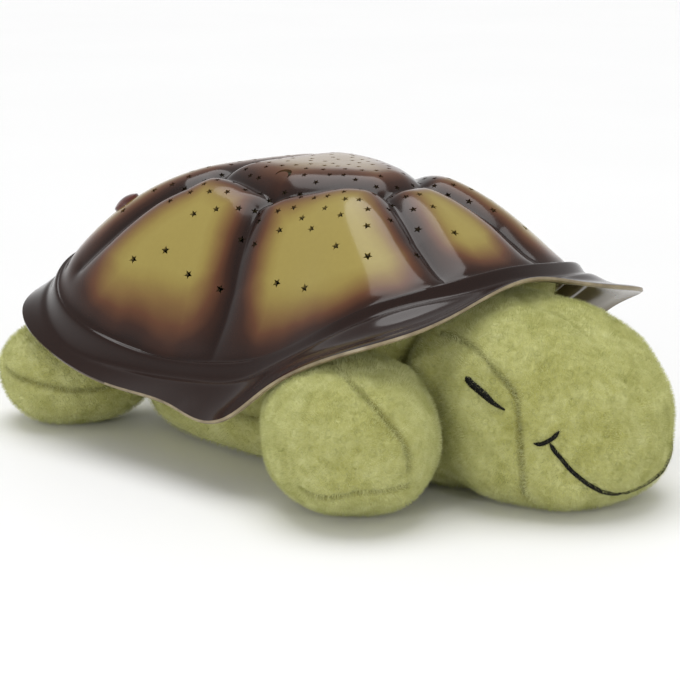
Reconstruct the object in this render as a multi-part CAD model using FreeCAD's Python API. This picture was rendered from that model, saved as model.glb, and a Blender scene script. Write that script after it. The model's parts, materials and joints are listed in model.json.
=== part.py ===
import FreeCAD, Part
import math
import os
import time

# Star night light projector: a stuffed turtle lying asleep under a hard, glossy,
# star-pierced shell that hides a small battery lamp.
# Millimetres, +Z up, floor at z = 0, head towards -Y, symmetric about x = 0.

# ----------------------------------------------------------------- driving dimensions
Y0 = 17.5              # shift that puts the origin under the middle of the whole object
YC = 12.0              # shell centre (before the shift)
SHELL_T = 2.2          # shell wall
DOME_TOP = 144.7       # crest height of the shell
DOME_P = 3.1           # crest profile exponents
DOME_Q = 1.15
DOME_Q1 = 0.22
DOME_K = 1.3
GROOVE_DEPTH = 6.0     # depth of the valleys between the shell's lobes
GROOVE_REACH = 17.0    # how far a valley reaches to each side
BEAD_W = 5.0           # raised bead where the dome meets the skirt
BEAD_H = 1.5
GRID = 7.25            # spacing of the surface's interpolation grid
# half outlines, front centre to rear centre, turtle's right side (x < 0)
RIM = [(0, -123, 101), (-44, -124, 93), (-86, -121, 84.5), (-112, -81, 67), (-124, -41, 39),
       (-126, 35, 40), (-127, 94, 48), (-112, 141, 65.4), (-61, 149.6, 78.3), (0, 150.3, 85)]
BEAD = [(0, -106, 104), (-45, -101, 100.5), (-73.7, -85.6, 91.6), (-87.7, -52.4, 71), (-99.3, -4.9, 56),
        (-111, 54, 57.5), (-112, 104.5, 73.3), (-83, 133, 89.6), (-41.8, 137, 96.6), (0, 135, 100)]
J1 = (-42, 60)         # corners of the six-sided crown lobe
J2 = (-46, 12)
J3 = (-14, -36)
GROOVES = [[J1, J2], [J2, J3], [J3, (14, -36)], [J1, (42, 60)],
           [J1, (-58, 67), (-68, 77), (-79, 85), (-89, 93), (-100, 104)],
           [J2, (-54, 14), (-65, 10), (-74, 6), (-81, 2), (-88, 0), (-100, 0)],
           [J3, (-22, -55), (-29, -75), (-33, -100)]]

STAR_TOP_R = 1.75      # outer radius of a star hole on the crown
STAR_LOW_R = 2.5       # outer radius of the lowest star holes
STAR_INNER = 0.45      # inner to outer radius of a star
MOON_AT = (-34.0, 18.0)
MOON_R = 4.2

BUTTON_PHI = (146.0, 168.5, -168.5, -146.0)   # places of the four buttons round the shell's rear
BUTTON_RHO = 0.80
BUTTON_R = 7.4
BUTTON_PROUD = 3.6
BUTTON_TRAVEL = 0.8
BUTTON_HOLE_R = 7.75
SWITCH_BOARD_W = -11.4  # top of a switch board below the shell's outer face

TUB_W, TUB_L, TUB_R = 130.0, 148.0, 20.0      # tub under the shell
TUB_FLOOR, TUB_TOP, TUB_T = 20.0, 50.0, 2.0
FLANGE_W, FLANGE_L, FLANGE_T = 150.0, 168.0, 2.0
RING_T = 2.0
BOSS_AT = [(-69.0, -30.0), (69.0, -30.0), (-69.0, 62.0), (69.0, 62.0)]
BOSS_R, PILOT_R, CLEAR_R = 4.5, 1.25, 1.7
DECK_Z, DECK_T = 44.0, 2.0
TOWER_R0, TOWER_R1, TOWER_H = 13.0, 10.5, 14.0
LED_R = 2.5

CELL_R, CELL_L, CELL_PITCH = 5.25, 44.5, 11.2  # three AAA cells
CELL_Z, CELL_Y = 12.6, 12.25
BAY_IN_W, BAY_Y0, BAY_Y1, BAY_T, BAY_Z0 = 36.0, -17.5, 39.5, 1.8, 6.0
DOOR_T, DOOR_Z = 2.0, 3.8
DOOR_HINGE_Y = -23.0
PIN_R, PIN_CLEAR = 1.0, 0.08

FLAP_W, FLAP_T, FLAP_Z, FLAP_Y0, FLAP_Y1 = 66.0, 2.0, 0.6, -37.0, 58.0
FLAP_HINGE_Y, FLAP_HINGE_Z = -37.6, 1.6

TORSO_A, TORSO_B, TORSO_Y, TORSO_EDGE = 86.0, 108.0, 15.0, 24.0
TORSO_TOP, TORSO_R = 62.0, 64.0
WELL_W, WELL_L, WELL_R = 156.0, 186.0, 40.0
COLLAR_IN, COLLAR_OUT = 0.80, 0.94   # cloth collar that fills the space up to the shell, as shares of the bead's outline
BELLY_T = 1.5
SHELL_GAP = 2.5        # air between the shell and the plush under it

HEAD_C, HEAD_AX = (0.0, -134.0, 45.5), (58.0, 66.0, 49.0)
FRONT_PAW_C, FRONT_PAW_AX, FRONT_PAW_YAW = (-86.0, -86.0, 34.3), (60.0, 41.0, 35.8), 38.0
REAR_PAW_C, REAR_PAW_AX, REAR_PAW_YAW = (-88.0, 125.0, 28.0), (42.0, 36.0, 29.0), 125.0
TAIL_C, TAIL_AX = (0.0, 136.0, 24.0), (17.0, 29.0, 13.0)

V = FreeCAD.Vector
os.makedirs("parts", exist_ok=True)


# ----------------------------------------------------------------- shell surface
def spline(xs, ys):
    n = len(xs)
    h = [xs[i + 1] - xs[i] for i in range(n - 1)]
    a, b, c, d = [0.0] * n, [1.0] * n, [0.0] * n, [0.0] * n
    for i in range(1, n - 1):
        a[i], b[i], c[i] = h[i - 1], 2 * (h[i - 1] + h[i]), h[i]
        d[i] = 6 * ((ys[i + 1] - ys[i]) / h[i] - (ys[i] - ys[i - 1]) / h[i - 1])
    for i in range(1, n):
        w = a[i] / b[i - 1]
        b[i] -= w * c[i - 1]
        d[i] -= w * d[i - 1]
    m = [0.0] * n
    m[-1] = d[-1] / b[-1]
    for i in range(n - 2, -1, -1):
        m[i] = (d[i] - c[i] * m[i + 1]) / b[i]

    def f(x):
        lo, hi = 0, n - 1
        while hi - lo > 1:
            k = (lo + hi) // 2
            if xs[k] > x:
                hi = k
            else:
                lo = k
        t = xs[hi] - xs[lo]
        p, q = (xs[hi] - x) / t, (x - xs[lo]) / t
        return p * ys[lo] + q * ys[hi] + ((p ** 3 - p) * m[lo] + (q ** 3 - q) * m[hi]) * t * t / 6
    return f


def even(points):
    rows = []
    for x, y, z in points:
        rows.append((math.degrees(math.atan2(abs(x), -(y - YC))), math.hypot(x, y - YC), z))
    full = [(-p, r, z) for p, r, z in rows[1:]][::-1] + rows + [(360 - p, r, z) for p, r, z in rows[:-1]][::-1]
    return spline([p for p, r, z in full], [r for p, r, z in full]), spline([p for p, r, z in full], [z for p, r, z in full])


rim_r, rim_z = even(RIM)
bead_r, bead_z = even(BEAD)
PATHS = GROOVES + [[(-x, y) for x, y in g] for g in GROOVES if g[-1][0] < 0]


def seg(px, py, ax, ay, bx, by):
    ux, uy = bx - ax, by - ay
    t = max(0.0, min(1.0, ((px - ax) * ux + (py - ay) * uy) / (ux * ux + uy * uy)))
    return math.hypot(px - ax - t * ux, py - ay - t * uy)


def groove(x, y, rho):
    d = min(seg(x, y, g[i][0], g[i][1], g[i + 1][0], g[i + 1][1]) for g in PATHS for i in range(len(g) - 1))
    if d >= GROOVE_REACH:
        return 0.0
    return GROOVE_DEPTH * (1 - d / GROOVE_REACH) ** 2 * max(0.0, 1 - rho ** 8)


def height(x, y):
    phi = math.degrees(math.atan2(abs(x), -(y - YC)))
    r = math.hypot(x, y - YC)
    rb, zb = bead_r(phi), bead_z(phi)
    if r <= rb:
        rho, c = r / rb, math.cos(math.radians(phi))
        z = zb + (DOME_TOP - zb) * (1 - rho ** DOME_P) ** (DOME_Q + DOME_Q1 * c) - DOME_K * c * rho * (1 - rho * rho)
        z -= groove(x, y, rho)
    else:
        rr, zr = rim_r(phi), rim_z(phi)
        t = (r - rb) / (rr - rb)
        z = zb + (zr - zb) * (t if t <= 1 else 1 + (t - 1) * 0.6)
    return z + BEAD_H * math.exp(-((r - rb - BEAD_W * 0.5) / (BEAD_W * 0.45)) ** 2)


def normal(x, y, e=0.5):
    n = V(-(height(x + e, y) - height(x - e, y)) / (2 * e), -(height(x, y + e) - height(x, y - e)) / (2 * e), 1)
    return n.normalize()


def polar(phi, rho):
    a = math.radians(abs(phi))
    r = rho * bead_r(abs(phi))
    x = -math.sin(a) * r if phi > 0 else math.sin(a) * r
    return x, YC - math.cos(a) * r


def surface(drop, extra=0.0):
    xs = [-145 + GRID * i for i in range(int(290 / GRID) + 1)]
    ys = [-145 + GRID * i for i in range(int(320 / GRID) + 1)]
    if extra:
        xs = [x * (1 + extra) for x in xs]
        ys = [y * (1 + extra) for y in ys]
    rows = []
    for y in ys:
        row = []
        for x in xs:
            z = height(x, y)
            if drop:
                n = normal(x, y, 2.0)
                z -= drop / max(n.z, 0.45)
            row.append(V(x, y, z))
        rows.append(row)
    s = Part.BSplineSurface()
    s.interpolate(rows)
    f = s.toShape()
    body = f.extrude(V(0, 0, -320))
    return body


def outline(scale=1.0, step=3, table=None):
    fr = table or rim_r
    pts = []
    for k in range(0, 360, step):
        a = math.radians(k)
        r = fr(k if k <= 180 else 360 - k) * scale
        pts.append(V(-math.sin(a) * r, YC - math.cos(a) * r, 0))
    c = Part.BSplineCurve()
    c.interpolate(pts, PeriodicFlag=True)
    return Part.Wire([c.toShape()])


def prism(wire, z0, z1):
    f = Part.Face(wire)
    f.translate(V(0, 0, z0))
    return f.extrude(V(0, 0, z1 - z0))


# ----------------------------------------------------------------- helpers
NODES = {}
CLOCK = [time.time()]


def solid(shape):
    s = shape.removeSplitter() if hasattr(shape, "removeSplitter") else shape
    return s


def keep(name, shape):
    s = shape.copy()
    s.translate(V(0, Y0, 0))
    NODES[name] = s
    print(name, round(time.time() - CLOCK[0], 1))


def cyl(r, h, at=(0, 0, 0), axis=(0, 0, 1)):
    return Part.makeCylinder(r, h, V(*at), V(*axis))


def cone(r0, r1, h, at=(0, 0, 0), axis=(0, 0, 1)):
    return Part.makeCone(r0, r1, h, V(*at), V(*axis))


def box(x0, x1, y0, y1, z0, z1):
    return Part.makeBox(x1 - x0, y1 - y0, z1 - z0, V(x0, y0, z0))


def rounded(w, l, r, z0, z1, yc=YC + 2):
    b = box(-w / 2, w / 2, yc - l / 2, yc + l / 2, z0, z1)
    es = [e for e in b.Edges if abs(e.Vertexes[0].Point.z - e.Vertexes[1].Point.z) > 1e-6]
    return b.makeFillet(r, es)


def fuse(first, *rest):
    out = first
    for s in rest:
        out = out.fuse(s)
    return out


def group(shapes):
    return Part.makeCompound(shapes)


def ellipsoid(c, ax, yaw=0.0):
    """semi-axes: width, length, height; yaw turns the length from -Y towards -X"""
    s = Part.makeSphere(1.0)
    m = FreeCAD.Matrix()
    m.scale(ax[0], ax[1], ax[2])
    s = s.transformGeometry(m)
    s.rotate(V(0, 0, 0), V(0, 0, 1), -yaw)
    s.translate(V(*c))
    return s


def mirror(s):
    return s.mirror(V(0, 0, 0), V(1, 0, 0))


def local(at, n):
    """placement whose +Z is the shell's outward normal at a point"""
    return FreeCAD.Placement(V(*at), FreeCAD.Rotation(V(0, 0, 1), n))


def placed(s, p):
    t = s.copy()
    t.Placement = p.multiply(t.Placement)
    return t


def tube(points, r):
    """a lead: straight runs joined by tangent arcs"""
    P = [V(*p) for p in points]
    edges, cur = [], P[0]
    for i in range(1, len(P) - 1):
        u, w = (P[i] - P[i - 1]), (P[i + 1] - P[i])
        lu, lw = u.Length, w.Length
        u.normalize()
        w.normalize()
        turn = math.acos(max(-1, min(1, u.dot(w))))
        cut = 0.45 * min(lu, lw)
        a, b = P[i] - u * cut, P[i] + w * cut
        k = (w - u)
        k.normalize()
        rad = cut / math.tan(turn / 2)
        mid = P[i] + k * (rad / math.cos(turn / 2) - rad)
        edges.append(Part.LineSegment(cur, a).toShape())
        edges.append(Part.Arc(a, mid, b).toShape())
        cur = b
    edges.append(Part.LineSegment(cur, P[-1]).toShape())
    path = Part.Wire(edges)
    d = P[1] - P[0]
    prof = Part.Wire([Part.Circle(P[0], d, r).toShape()])
    s = path.makePipeShell([prof], True, False)
    return s


def bar(points, r):
    """a row of stitches: round bars joined by balls"""
    out = None
    for i in range(len(points) - 1):
        a, b = V(*points[i]), V(*points[i + 1])
        c = Part.makeCylinder(r, (b - a).Length, a, b - a)
        ball = Part.makeSphere(r, a)
        out = fuse(out, c, ball) if out else fuse(c, ball)
    return fuse(out, Part.makeSphere(r, V(*points[-1])))


# ----------------------------------------------------------------- star shell
outer = surface(0.0)
inner = surface(SHELL_T, 0.02)
lowered = inner.copy()
lowered.translate(V(0, 0, -SHELL_GAP))
rim_prism = prism(outline(), 10, 200)
shell = outer.common(rim_prism).cut(inner)
inner_wall = inner.copy()

bosses = []
for x, y in BOSS_AT:
    z_top = height(x, y) + 4
    b = cyl(BOSS_R, z_top - (TUB_TOP + FLANGE_T + RING_T), (x, y, TUB_TOP + FLANGE_T + RING_T))
    b = b.common(inner_wall)
    bosses.append(b)

BUTTONS = []
for phi in BUTTON_PHI:
    bx, by = polar(phi, BUTTON_RHO)
    n = normal(bx, by, 3.0)
    BUTTONS.append(((bx, by, height(bx, by)), n))

posts = []
for at, n in BUTTONS:
    p = local(at, n)
    for s in (-1, 1):
        post = cyl(2.2, abs(SWITCH_BOARD_W) + 4, (s * 11.0, 0, SWITCH_BOARD_W))
        posts.append(placed(post, p).common(inner_wall))
shell = shell.fuse(bosses + posts)
cuts = []
for (x, y) in BOSS_AT:
    cuts.append(cyl(PILOT_R, 12, (x, y, TUB_TOP + FLANGE_T + RING_T - 0.1)))
for at, n in BUTTONS:
    p = local(at, n)
    cuts.append(placed(cyl(BUTTON_HOLE_R, 14, (0, 0, -8)), p))
    for s in (-1, 1):
        cuts.append(placed(cyl(0.8, 6.0, (s * 11.0, 0, SWITCH_BOARD_W - 0.1)), p))
for c in cuts:
    shell = shell.cut(c)


def star(x, y, r, turn):
    z = height(x, y)
    pts = []
    for k in range(10):
        a = turn + math.pi * k / 5
        q = r if k % 2 == 0 else r * STAR_INNER
        pts.append(V(x + q * math.cos(a), y + q * math.sin(a), z - 9))
    pts.append(pts[0])
    return Part.Face(Part.makePolygon(pts)).extrude(V(0, 0, 16))


def halton(i, b):
    f, r = 1.0, 0.0
    while i:
        f /= b
        r += f * (i % b)
        i //= b
    return r


def star_places():
    out = []
    for i in range(1, 2600):
        rho = math.sqrt(halton(i, 2)) * 0.82
        phi = halton(i, 3) * 180
        x, y = polar(phi, rho)
        if x > -2.0:
            continue
        density = 1.0 if rho < 0.50 else max(0.0, 1 - (rho - 0.50) / 0.30) ** 1.3
        need = 9.6 / max(0.34, math.sqrt(max(density, 0.02)))
        if halton(i, 5) > density + 0.03:
            continue
        if math.hypot(x - MOON_AT[0], y - MOON_AT[1]) < 9:
            continue
        if any(math.hypot(x - a[0][0], y - a[0][1]) < 15 for a in BUTTONS):
            continue
        if any(math.hypot(x - bx, y - by) < BOSS_R + 4 for bx, by in BOSS_AT):
            continue
        if any(math.hypot(x - a, y - b) < min(need, 15) or math.hypot(x + a, y - b) < 6 for a, b, r, t in out):
            continue
        out.append((x, y, STAR_TOP_R + (STAR_LOW_R - STAR_TOP_R) * min(1.0, rho / 0.8) ** 2, halton(i, 7) * 6.283))
    both = []
    for x, y, r, t in out:
        both.append((x, y, r, t))
        # the far side has the same density in another layout
        a = math.atan2(x, y - YC) + 0.16
        q = math.hypot(x, y - YC)
        xx, yy = -q * math.sin(a), YC + q * math.cos(a)
        ok = xx > 3.0 and math.hypot(xx, yy - YC) / bead_r(math.degrees(math.atan2(abs(xx), -(yy - YC)))) < 0.83
        ok = ok and not any(math.hypot(xx - p[0][0], yy - p[0][1]) < 15 for p in BUTTONS)
        ok = ok and not any(math.hypot(xx - bx, yy - by) < BOSS_R + 4 for bx, by in BOSS_AT)
        if ok:
            both.append((xx, yy, r, t + 1.0))
    return both


STARS = star_places()
print("stars", len(STARS))
prisms = [star(*s) for s in STARS]
mx, my = MOON_AT
mz = height(mx, my)
moon = cyl(MOON_R, 16, (mx, my, mz - 9)).cut(cyl(MOON_R * 0.92, 18, (mx + 2.0, my - 1.2, mz - 10)))
prisms.append(moon)
shell = shell.cut(Part.makeCompound(prisms))
keep("star_shell", shell)

# ----------------------------------------------------------------- buttons and their switches
names = ["amber", "green", "blue", "power"]
bodies_sw, boards, sw_screws = [], [], []
for name, (at, n) in zip(names, BUTTONS):
    p = local(at, n)
    body = cyl(BUTTON_R, BUTTON_PROUD + 3.9 - 2.4, (0, 0, -3.9))
    sph_r = (BUTTON_R ** 2 + 2.4 ** 2) / (2 * 2.4)
    dome = Part.makeSphere(sph_r, V(0, 0, BUTTON_PROUD - sph_r)).common(cyl(BUTTON_R, 6, (0, 0, BUTTON_PROUD - 2.4)))
    flange = cyl(BUTTON_R + 1.4, 1.2, (0, 0, -5.0))
    stem = cyl(2.0, 2.2, (0, 0, -6.6))
    cap = fuse(body, dome, flange, stem).cut(cyl(BUTTON_R - 1.6, 3.6, (0, 0, -2.6)))
    keep("button_" + name, placed(cap, p))
    plunger = cyl(1.6, 1.4, (0, 0, -8.0))
    keep("plunger_" + name, placed(plunger, p))
    sw = box(-3.0, 3.0, -3.0, 3.0, SWITCH_BOARD_W, SWITCH_BOARD_W + 2.4)
    sw = sw.cut(cyl(1.75, 4, (0, 0, SWITCH_BOARD_W + 0.8)))
    bodies_sw.append(placed(sw, p))
    board = rounded(28, 14, 3, SWITCH_BOARD_W - 1.2, SWITCH_BOARD_W, 0)
    for s in (-1, 1):
        board = board.cut(cyl(1.1, 4, (s * 11.0, 0, SWITCH_BOARD_W - 2)))
        head = cyl(1.9, 1.3, (s * 11.0, 0, SWITCH_BOARD_W - 2.5))
        shank = cyl(0.8, 6.2, (s * 11.0, 0, SWITCH_BOARD_W - 1.3))
        slot = box(-1.3 + s * 11.0, 1.3 + s * 11.0, -0.25, 0.25, SWITCH_BOARD_W - 2.6, SWITCH_BOARD_W - 2.0)
        sw_screws.append(placed(fuse(head, shank).cut(slot), p))
    boards.append(placed(board, p))
keep("switch_bodies", group(bodies_sw))
keep("switch_boards", group(boards))
keep("switch_board_screws", group(sw_screws))

# ----------------------------------------------------------------- tub, ring, deck, tower
tub = fuse(rounded(TUB_W, TUB_L, TUB_R, TUB_FLOOR, TUB_TOP), rounded(FLANGE_W, FLANGE_L, TUB_R + 9, TUB_TOP, TUB_TOP + FLANGE_T))
tub = tub.cut(rounded(TUB_W - 2 * TUB_T, TUB_L - 2 * TUB_T, TUB_R - TUB_T, TUB_FLOOR + TUB_T, TUB_TOP + FLANGE_T + 1))
bw, y0, y1 = BAY_IN_W / 2, BAY_Y0, BAY_Y1
bay = box(-bw - BAY_T, bw + BAY_T, y0 - BAY_T, y1 + BAY_T, BAY_Z0, TUB_FLOOR + 0.5)
bay = bay.cut(box(-bw, bw, y0, y1, BAY_Z0 - 1, TUB_FLOOR))
lugs = []
for s in (-1, 1):
    xa, xb = sorted((s * 21.6, s * 25.0))
    lug = box(xa, xb, DOOR_HINGE_Y - 2.2, y0 - BAY_T + 3.0, BAY_Z0 - 3.4, TUB_FLOOR + 0.5)
    lug = lug.cut(cyl(PIN_R + PIN_CLEAR, 10, (min(xa, xb) - 3, DOOR_HINGE_Y, DOOR_Z + DOOR_T / 2), (1, 0, 0)))
    lugs.append(lug)
deck_posts = []
for x in (-48.0, 48.0):
    for y in (-42.0, 70.0):
        deck_posts.append(cyl(3.6, DECK_Z - TUB_FLOOR - 0.5, (x, y, TUB_FLOOR + 0.5)))
board_posts = [cyl(2.6, 4.5, (x, y, TUB_FLOOR + 0.5)) for x in (-26.0, 26.0) for y in (-22.0, 46.0)]
tub = fuse(tub, bay, *(lugs + deck_posts + board_posts))
tub = tub.cut(box(-bw, bw, y0, y1, BAY_Z0 - 1, TUB_FLOOR))
for x, y in BOSS_AT:
    tub = tub.cut(cyl(CLEAR_R, 10, (x, y, TUB_TOP - 3)))
for x in (-48.0, 48.0):
    for y in (-42.0, 70.0):
        tub = tub.cut(cyl(1.0, 10, (x, y, DECK_Z - 9)))
for x in (-26.0, 26.0):
    for y in (-22.0, 46.0):
        tub = tub.cut(cyl(0.8, 4, (x, y, TUB_FLOOR + 1.5)))
# screw boss for the door at the rear of the bay, and lead hole
tub = tub.fuse(cyl(3.2, 10.5, (0, y1 + BAY_T + 3.0, BAY_Z0 + 0.1)).fuse(box(-3.2, 3.2, y1 + 0.5, y1 + BAY_T + 3.0, BAY_Z0 + 0.1, BAY_Z0 + 10.6)).fuse(cyl(3.2, 4.4, (0, y1 + BAY_T + 3.0, BAY_Z0 + 10.5))))
tub = tub.cut(cyl(1.0, 8, (0, y1 + BAY_T + 3.0, BAY_Z0 - 0.1)))
tub = tub.cut(cyl(2.0, 6, (12.0, -14.0, TUB_FLOOR - 2)))
keep("base_tub", tub)

ring = rounded(FLANGE_W, FLANGE_L, TUB_R + 9, TUB_TOP + FLANGE_T, TUB_TOP + FLANGE_T + RING_T)
ring = ring.cut(rounded(TUB_W - 2 * TUB_T, TUB_L - 2 * TUB_T, TUB_R - TUB_T, TUB_TOP, TUB_TOP + 6))
for x, y in BOSS_AT:
    ring = ring.cut(cyl(CLEAR_R, 10, (x, y, TUB_TOP)))
keep("fabric_clamp_ring", ring)

base_screws = []
for x, y in BOSS_AT:
    h = cone(1.6, 2.9, 0.9, (x, y, TUB_TOP - 2.2)).fuse(cyl(2.9, 1.3, (x, y, TUB_TOP - 1.3)))
    s = h.fuse(cyl(1.25, 13.5, (x, y, TUB_TOP - 0.1)))
    s = s.cut(box(x - 1.8, x + 1.8, y - 0.35, y + 0.35, TUB_TOP - 2.4, TUB_TOP - 1.3)).cut(box(x - 0.35, x + 0.35, y - 1.8, y + 1.8, TUB_TOP - 2.4, TUB_TOP - 1.3))
    base_screws.append(s)
keep("base_screws", group(base_screws))

deck = rounded(TUB_W - 2 * TUB_T - 0.8, TUB_L - 2 * TUB_T - 0.8, TUB_R - TUB_T - 0.4, DECK_Z, DECK_Z + DECK_T)
deck = deck.cut(cyl(7.0, 6, (0, YC, DECK_Z - 2)))
deck = deck.cut(cyl(2.4, 6, (0, 60.0, DECK_Z - 2)))
for x in (-48.0, 48.0):
    for y in (-42.0, 70.0):
        deck = deck.cut(cyl(1.3, 6, (x, y, DECK_Z - 2)))
for a in (30, 150, 270):
    deck = deck.cut(cyl(0.9, 6, (11.3 * math.cos(math.radians(a)), YC + 11.3 * math.sin(math.radians(a)), DECK_Z - 2)))
keep("light_deck", deck)
deck_screws = []
for x in (-48.0, 48.0):
    for y in (-42.0, 70.0):
        s = cyl(2.3, 1.5, (x, y, DECK_Z + DECK_T)).fuse(cyl(1.0, 9.5, (x, y, DECK_Z + DECK_T - 9.4)))
        s = s.cut(box(x - 1.5, x + 1.5, y - 0.3, y + 0.3, DECK_Z + DECK_T + 0.8, DECK_Z + DECK_T + 2)).cut(box(x - 0.3, x + 0.3, y - 1.5, y + 1.5, DECK_Z + DECK_T + 0.8, DECK_Z + DECK_T + 2))
        deck_screws.append(s)
keep("deck_screws", group(deck_screws))

tz = DECK_Z + DECK_T
tower = cone(TOWER_R0, TOWER_R1, TOWER_H, (0, YC, tz)).cut(cone(TOWER_R0 - 4.6, TOWER_R1 - 2.0, TOWER_H + 0.2, (0, YC, tz - 0.1)))
tower = tower.cut(cyl(TOWER_R1 - 1.2, 3, (0, YC, tz + TOWER_H - 1.4)))
pegs = [cyl(0.85, 2.0, (11.3 * math.cos(math.radians(a)), YC + 11.3 * math.sin(math.radians(a)), tz - 1.9)) for a in (30, 150, 270)]
tower = fuse(tower, *pegs)
keep("light_tower", tower)
lz = tz + TOWER_H - 1.4
led_board = cyl(TOWER_R1 - 1.3, 1.2, (0, YC, lz))
keep("led_board", led_board)
for k, name in enumerate(names[:3]):
    a = math.radians(90 + 120 * k)
    x, y = 4.4 * math.cos(a), YC + 4.4 * math.sin(a)
    led = fuse(cyl(2.9, 1.0, (x, y, lz + 1.2)), cyl(LED_R, 4.4, (x, y, lz + 1.2)), Part.makeSphere(LED_R, V(x, y, lz + 5.6)))
    keep("led_" + name, led)

# ----------------------------------------------------------------- boards and battery
bz = TUB_FLOOR + 5.0
board = rounded(64, 80, 2, bz, bz + 1.6, YC)
for x in (-26.0, 26.0):
    for y in (-22.0, 46.0):
        board = board.cut(cyl(1.1, 4, (x, y, bz - 1)))
keep("main_board", board)
screws = []
for x in (-26.0, 26.0):
    for y in (-22.0, 46.0):
        s = cyl(2.0, 1.3, (x, y, bz + 1.6)).fuse(cyl(0.8, 4.6, (x, y, bz + 1.7 - 4.6)))
        screws.append(s.cut(box(x - 1.4, x + 1.4, y - 0.25, y + 0.25, bz + 2.3, bz + 4)))
keep("board_screws", group(screws))
ct = bz + 1.6
chip = box(-5, 5, 0, 10, ct + 0.3, ct + 1.9)
pins = [box(-6.6, -5, 0.6 + 1.27 * k, 1.0 + 1.27 * k, ct, ct + 0.9) for k in range(8)] + [box(5, 6.6, 0.6 + 1.27 * k, 1.0 + 1.27 * k, ct, ct + 0.9) for k in range(8)]
parts = [chip.fuse(pins), cyl(4.0, 9.0, (18, 20, ct)), cyl(3.0, 7.0, (-18, 24, ct)), box(-20, -12, -12, -7, ct, ct + 3.2), box(14, 22, -6, -2, ct, ct + 6.0)]
for k in range(5):
    parts.append(box(-12 + 5 * k, -10 + 5 * k, 30, 31.3, ct, ct + 0.6))
keep("board_components", group(parts))

cells, springs, contacts = [], [], []
for k in (-1, 0, 1):
    x = k * CELL_PITCH
    d = 1 if k % 2 == 0 else -1
    yb = CELL_Y - CELL_L / 2
    c = cyl(CELL_R, CELL_L - 1.0, (x, yb if d > 0 else yb + 1.0, CELL_Z), (0, 1, 0))
    nub = cyl(1.9, 1.0, (x, yb + CELL_L - 1.0, CELL_Z), (0, 1, 0)) if d > 0 else cyl(1.9, 1.0, (x, yb, CELL_Z), (0, 1, 0))
    cells.append(c.fuse(nub))
    ys = yb if d > 0 else yb + CELL_L
    s = -1 if d > 0 else 1
    gap_end = (BAY_Y0 + 0.6) if d > 0 else (BAY_Y1 - 0.6)
    length = abs(gap_end - ys)
    coil = []
    turns = 4
    for t in range(turns):
        rr = 3.4 - 0.45 * (turns - t - 1)
        yy = ys + s * (0.45 + (length - 0.9) * t / (turns - 1))
        coil.append(Part.makeTorus(rr if s < 0 else rr, 0.4, V(x, yy, CELL_Z), V(0, 1, 0)))
    links = []
    for t in range(turns - 1):
        a0 = ys + s * (0.45 + (length - 0.9) * t / (turns - 1))
        a1 = ys + s * (0.45 + (length - 0.9) * (t + 1) / (turns - 1))
        r0, r1 = 3.4 - 0.45 * (turns - t - 1), 3.4 - 0.45 * (turns - t - 2)
        ang = 0.7 + math.pi * (t % 2)
        p0 = V(x + r0 * math.cos(ang), a0, CELL_Z + r0 * math.sin(ang))
        p1 = V(x + r1 * math.cos(ang), a1, CELL_Z + r1 * math.sin(ang))
        links.append(Part.makeCylinder(0.4, (p1 - p0).Length, p0, p1 - p0))
    springs.append(fuse(coil[0], *(coil[1:] + links)))
for (xa, xb, end) in ((-15.0, -7.4, 0), (-3.8, 15.0, 0), (-15.0, 3.8, 1), (7.4, 15.0, 1)):
    if end == 0:
        contacts.append(box(xa, xb, BAY_Y0 + 0.1, BAY_Y0 + 0.5, CELL_Z - 4.4, CELL_Z + 4.4))
    else:
        contacts.append(box(xa, xb, BAY_Y1 - 0.5, BAY_Y1 - 0.1, CELL_Z - 4.4, CELL_Z + 4.4))
# raised contact studs that meet the cells' caps
stud = cyl(2.4, (CELL_Y - CELL_L / 2) - (BAY_Y0 + 0.5), (-CELL_PITCH, BAY_Y0 + 0.5, CELL_Z), (0, 1, 0))
contacts[0] = contacts[0].fuse(stud)
stud = cyl(2.4, (CELL_Y - CELL_L / 2) - (BAY_Y0 + 0.5), (CELL_PITCH, BAY_Y0 + 0.5, CELL_Z), (0, 1, 0))
contacts[1] = contacts[1].fuse(stud)
yt = CELL_Y + CELL_L / 2
contacts[2] = contacts[2].fuse(cyl(2.4, (BAY_Y1 - 0.5) - yt, (0, yt, CELL_Z), (0, 1, 0)))
keep("battery_cells", group(cells))
keep("battery_springs", group(springs))
keep("battery_contacts", group(contacts))

door = box(-bw - BAY_T, bw + BAY_T, DOOR_HINGE_Y, y1 + BAY_T + 6.2, DOOR_Z, DOOR_Z + DOOR_T)
door = door.makeFillet(3.0, [e for e in door.Edges if abs(e.Vertexes[0].Point.z - e.Vertexes[1].Point.z) > 1 and e.Vertexes[0].Point.y > 0])
pin_z = DOOR_Z + DOOR_T / 2
door = door.fuse(cyl(PIN_R, 49.6, (-24.8, DOOR_HINGE_Y, pin_z), (1, 0, 0)))
for k in range(5):
    door = door.cut(box(-14, 14, 28 + 2.4 * k, 29 + 2.4 * k, DOOR_Z - 0.1, DOOR_Z + 0.5))
door = door.cut(cyl(1.35, 6, (0, y1 + BAY_T + 3.0, DOOR_Z - 2))).cut(cyl(2.5, 1.2, (0, y1 + BAY_T + 3.0, DOOR_Z - 0.1)))
keep("battery_door", door)
ds = cyl(2.2, 1.0, (0, y1 + BAY_T + 3.0, DOOR_Z + 0.1)).fuse(cyl(0.95, 5.0, (0, y1 + BAY_T + 3.0, DOOR_Z + 1.0)))
ds = ds.cut(box(-1.5, 1.5, y1 + BAY_T + 2.7, y1 + BAY_T + 3.3, DOOR_Z, DOOR_Z + 0.6)).cut(box(-0.3, 0.3, y1 + BAY_T + 1.5, y1 + BAY_T + 4.5, DOOR_Z, DOOR_Z + 0.6))
keep("door_screw", ds)

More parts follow.
